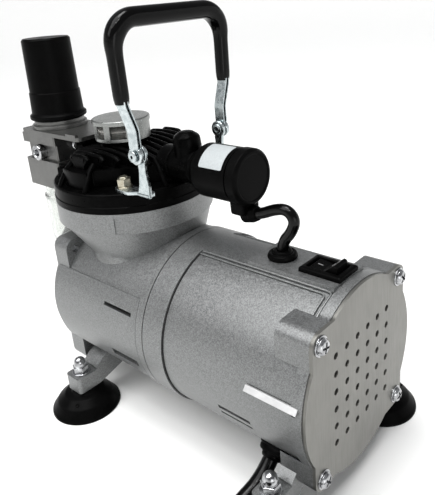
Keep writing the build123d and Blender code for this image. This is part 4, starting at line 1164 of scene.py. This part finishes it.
# ---- gauge ----
GAUGE_Z = middle("gauge_case", Z)
GAUGE_BACK = 20.0
GAUGE_FRONT = high("gauge_case").x
GAUGE_FACE = GAUGE_BACK + 4.8
GAUGE_SEAT = seat(0, REG_Y, GAUGE_Z, "X")


def add_gauge_case():
    case = lathe([
        (0, GAUGE_BACK), (12.4, GAUGE_BACK, 0.8), (12.6, GAUGE_BACK + 9.6, 0.3),
        (13.0, GAUGE_BACK + 9.9, 0.2), (13.0, GAUGE_FRONT - 0.4, 0.5), (12.3, GAUGE_FRONT, 0.4),
        (11.6, GAUGE_FRONT - 0.6, 0.2), (11.6, GAUGE_BACK + 2), (0, GAUGE_BACK + 2),
    ], GAUGE_SEAT, 72)
    stem = lathe([(0, 15.6), (4.6, 15.6), (4.6, GAUGE_BACK, 0.1), (0, GAUGE_BACK + 0.5)], GAUGE_SEAT, 32)
    hub = lathe([(0, 21), (0.6, 21), (0.6, 27.2), (0, 27.2)], GAUGE_SEAT, 16)
    piece("gauge_housing", [case, stem, hub], ["gauge_black"], "gauge_case")


def add_gauge_dial():
    back = GAUGE_FACE - 0.8
    outline = [(0.65, back), (11.5, back), (11.5, GAUGE_FACE, 0.1), (0.65, GAUGE_FACE)]
    dial = hollow(outline, GAUGE_SEAT, 64)
    marks = []
    for i in range(51):
        swing = turn(135 - 270 * i / 50, "Z")
        length = 2.2 if i % 10 == 0 else 1.5 if i % 5 == 0 else 1.0
        width = 0.22 if i % 5 == 0 else 0.1
        bar = prism(oblong(length / 2, width, 0.05), 0.05, STILL, base=GAUGE_FACE)
        marks.append((moved(bar, GAUGE_SEAT @ swing @ shift(-(10.6 - length / 2), 0, 0)), 1))
        bar.free()
    parts = [dial, *marks, *dial_numbers()]
    piece("gauge_scale", parts, ["dial_white", "needle_black"], "gauge_dial")


def add_gauge_lens():
    lens = lathe([
        (0, GAUGE_FRONT - 2.4), (11.5, GAUGE_FRONT - 2.4), (11.5, GAUGE_FRONT - 1.4, 0.3),
        (6.0, GAUGE_FRONT - 0.8, 6.0), (0, GAUGE_FRONT - 0.7),
    ], GAUGE_SEAT, 64)
    piece("gauge_window", [lens], ["bowl_clear"], "gauge_lens", crease=50)


def add_gauge_needle():
    outline = [(-0.5, -2.6, 0.3), (0.5, -2.6, 0.3), (0.16, 8.6, 0.1), (-0.16, 8.6, 0.1)]
    needle = prism(outline, 0.35, STILL, edge=0.08)
    needle.transform(GAUGE_SEAT @ shift(0, 0, GAUGE_FACE + 0.7) @ turn(45, "Z"))
    base = GAUGE_FACE + 0.6
    boss = lathe([(0, base), (1.6, base, 0.2), (1.5, base + 1, 0.4), (0, base + 1)], GAUGE_SEAT, 32)
    piece("gauge_pointer", [needle, boss], ["needle_black"], "gauge_needle", "needle")


def dial_numbers():
    """The scale's even numbers, upright to a reader."""
    numbers = []
    for i in range(6):
        text = bpy.data.curves.new("number", "FONT")
        text.body = str(2 * i)
        text.size = 2.6
        text.extrude = 0.02
        text.align_x = "CENTER"
        text.align_y = "CENTER"
        holder = placed("number", text)
        mesh = bpy.data.meshes.new_from_object(holder)
        bm = bmesh.new()
        bm.from_mesh(mesh)
        bpy.data.objects.remove(holder)
        bpy.data.meshes.remove(mesh)
        a = radians(225 - 270 * i / 5)
        stand = turn(90, "Z") @ turn(90, "X")
        place = shift(6.6 * cos(a), 6.6 * sin(a), 0)
        bm.transform(seat(GAUGE_FACE + 0.03, REG_Y, GAUGE_Z) @ stand @ place)
        numbers.append((bm, 1))
    return numbers


# ---- trim on the housing ----
PANEL_TOP = 75.0
PANEL_YS = (7.2, 78.6)


def on_skin(angle, y, lift):
    """A point on the round housing, at an angle above the horizontal on the -X side."""
    a = radians(angle)
    return (-(BODY_R + lift) * cos(a), y, (BODY_R + lift) * sin(a))


def bead(angle, y, end_angle, r):
    """A half-round rib along the side panel's upper edge, then down beside the vent plate."""
    corner = rounded([(PANEL_YS[1], angle), (y, angle, 2.6), (y, end_angle)], closed=False, steps=6)
    line = resampled([Vector((p.x, p.y)) for p in corner], 1.6)
    path = [on_skin(p.y, p.x, -0.35) for p in line]
    return swept(path, circle(r, 10), seat(), side=(0.3, 0.2, 1))


def add_panel_beads():
    ribs = [bead(PANEL_TOP, PANEL_YS[0], 56.0, 0.6), bead(PANEL_TOP - 2.6, PANEL_YS[0] + 2.0, 56.0, 0.4)]
    piece("panel_beads", both_sides(ribs), ["silver_paint"], crease=60)
    seam_path = [on_skin(angle, PANEL_YS[1] + 0.35, -0.8) for angle in range(-60, 75, 3)]
    seam = swept(seam_path, circle(0.28, 8), seat(), side=(0, 1, 0))
    piece("panel_seams", both_sides([seam]), ["gasket_black"], crease=60)


def add_bright_strips():
    """A bright strip in a pale alloy colour on each side of the rear housing, sloped so that it catches the
    light.
    """
    angle = 10
    out = (-cos(radians(angle)), 0, sin(radians(angle)))
    section = [(-0.6, -1.4), (1.2, -1.4), (1.5, -1.1), (0.1, 1.2), (-0.6, 1.2)]
    edge = swept([on_skin(angle, 3.4, 0), on_skin(angle, 28.9, 0)], section, seat(), side=out)
    piece("bright_strips", both_sides([edge]), ["inner_alloy"])


for build in (
    add_housing_screws, add_foot_nuts, add_head_bolts, add_pump_head, add_suction_cups, add_handle_grip,
    add_handle_strips, add_handle_brackets, add_handle_pins, add_switch_bezel, add_rocker, add_lead,
    add_grommet, add_pressure_switch, add_elbow, add_label, add_knob, add_ring_nut, add_side_plug,
    add_nipples, add_bowl, add_gauge_case, add_gauge_dial, add_gauge_lens, add_gauge_needle,
    add_panel_beads, add_bright_strips,
):
    build()


# ---- CAD nodes that stay ----
def clean_edges():
    """A modifier's node group: one welded, smooth-shaded surface from the imported triangles."""
    group = bpy.data.node_groups.new("clean_edges", "GeometryNodeTree")
    group.interface.new_socket("Geometry", in_out="INPUT", socket_type="NodeSocketGeometry")
    group.interface.new_socket("Geometry", in_out="OUTPUT", socket_type="NodeSocketGeometry")
    start = group.nodes.new("NodeGroupInput")
    weld = group.nodes.new("GeometryNodeMergeByDistance")
    weld.inputs["Distance"].default_value = 2e-6
    normals = group.nodes.new("GeometryNodeRemoveAttribute")
    normals.inputs["Name"].default_value = "custom_normal"
    smooth = group.nodes.new("GeometryNodeSetShadeSmooth")
    end = group.nodes.new("NodeGroupOutput")
    chain = [start, weld, normals, smooth, end]
    for before, after in zip(chain, chain[1:]):
        group.links.new(before.outputs["Geometry"], after.inputs["Geometry"])
    return group


CLEAN_EDGES = clean_edges()


def finish_node(name, edge_mm=0.0, segments=2):
    """Gives a CAD node its material, and eases its edges with modifiers."""
    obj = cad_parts[name]
    slot = obj.data.materials[0].name.split(".")[0]
    for holder in obj.material_slots:
        holder.material = materials[slot]
    clean = obj.modifiers.new("clean", "NODES")
    clean.node_group = CLEAN_EDGES
    flat = obj.modifiers.new("flat", "DECIMATE")
    flat.decimate_type = "DISSOLVE"
    flat.angle_limit = radians(0.6)
    if edge_mm:
        bevel = obj.modifiers.new("edge", "BEVEL")
        bevel.width = edge_mm * MM
        bevel.segments = segments
        bevel.limit_method = "ANGLE"
        bevel.angle_limit = radians(32)
    tidy = obj.modifiers.new("normals", "WEIGHTED_NORMAL")
    tidy.keep_sharp = True


EDGES = {
    "rear_housing": 0.5, "front_crankcase": 0.5, "crankcase_cover": 0.4, "vent_plate": 0.2,
    "regulator_block": 0.5, "regulator_bracket": 0.4, "intake_cap": 0.25,
}
for node_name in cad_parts:
    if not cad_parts[node_name].hide_render:
        finish_node(node_name, EDGES.get(node_name, 0.0))

add_studio()


def add_floor():
    """A pale sheet that curves up far behind."""
    ground = Look("floor", (0.94, 0.94, 0.93), roughness=0.8)
    ground.colour(ground.noise(60.0), (0.93, 0.93, 0.92), (0.95, 0.95, 0.94))
    materials["floor"] = ground.material
    sheet = lathe([(0, 0), (3000, 0), (4200, 150), (5400, 700), (6000, 1800)], Matrix.Scale(MM, 4), 96)
    return as_object("floor", sheet, ["floor"], 60)


floor = add_floor()
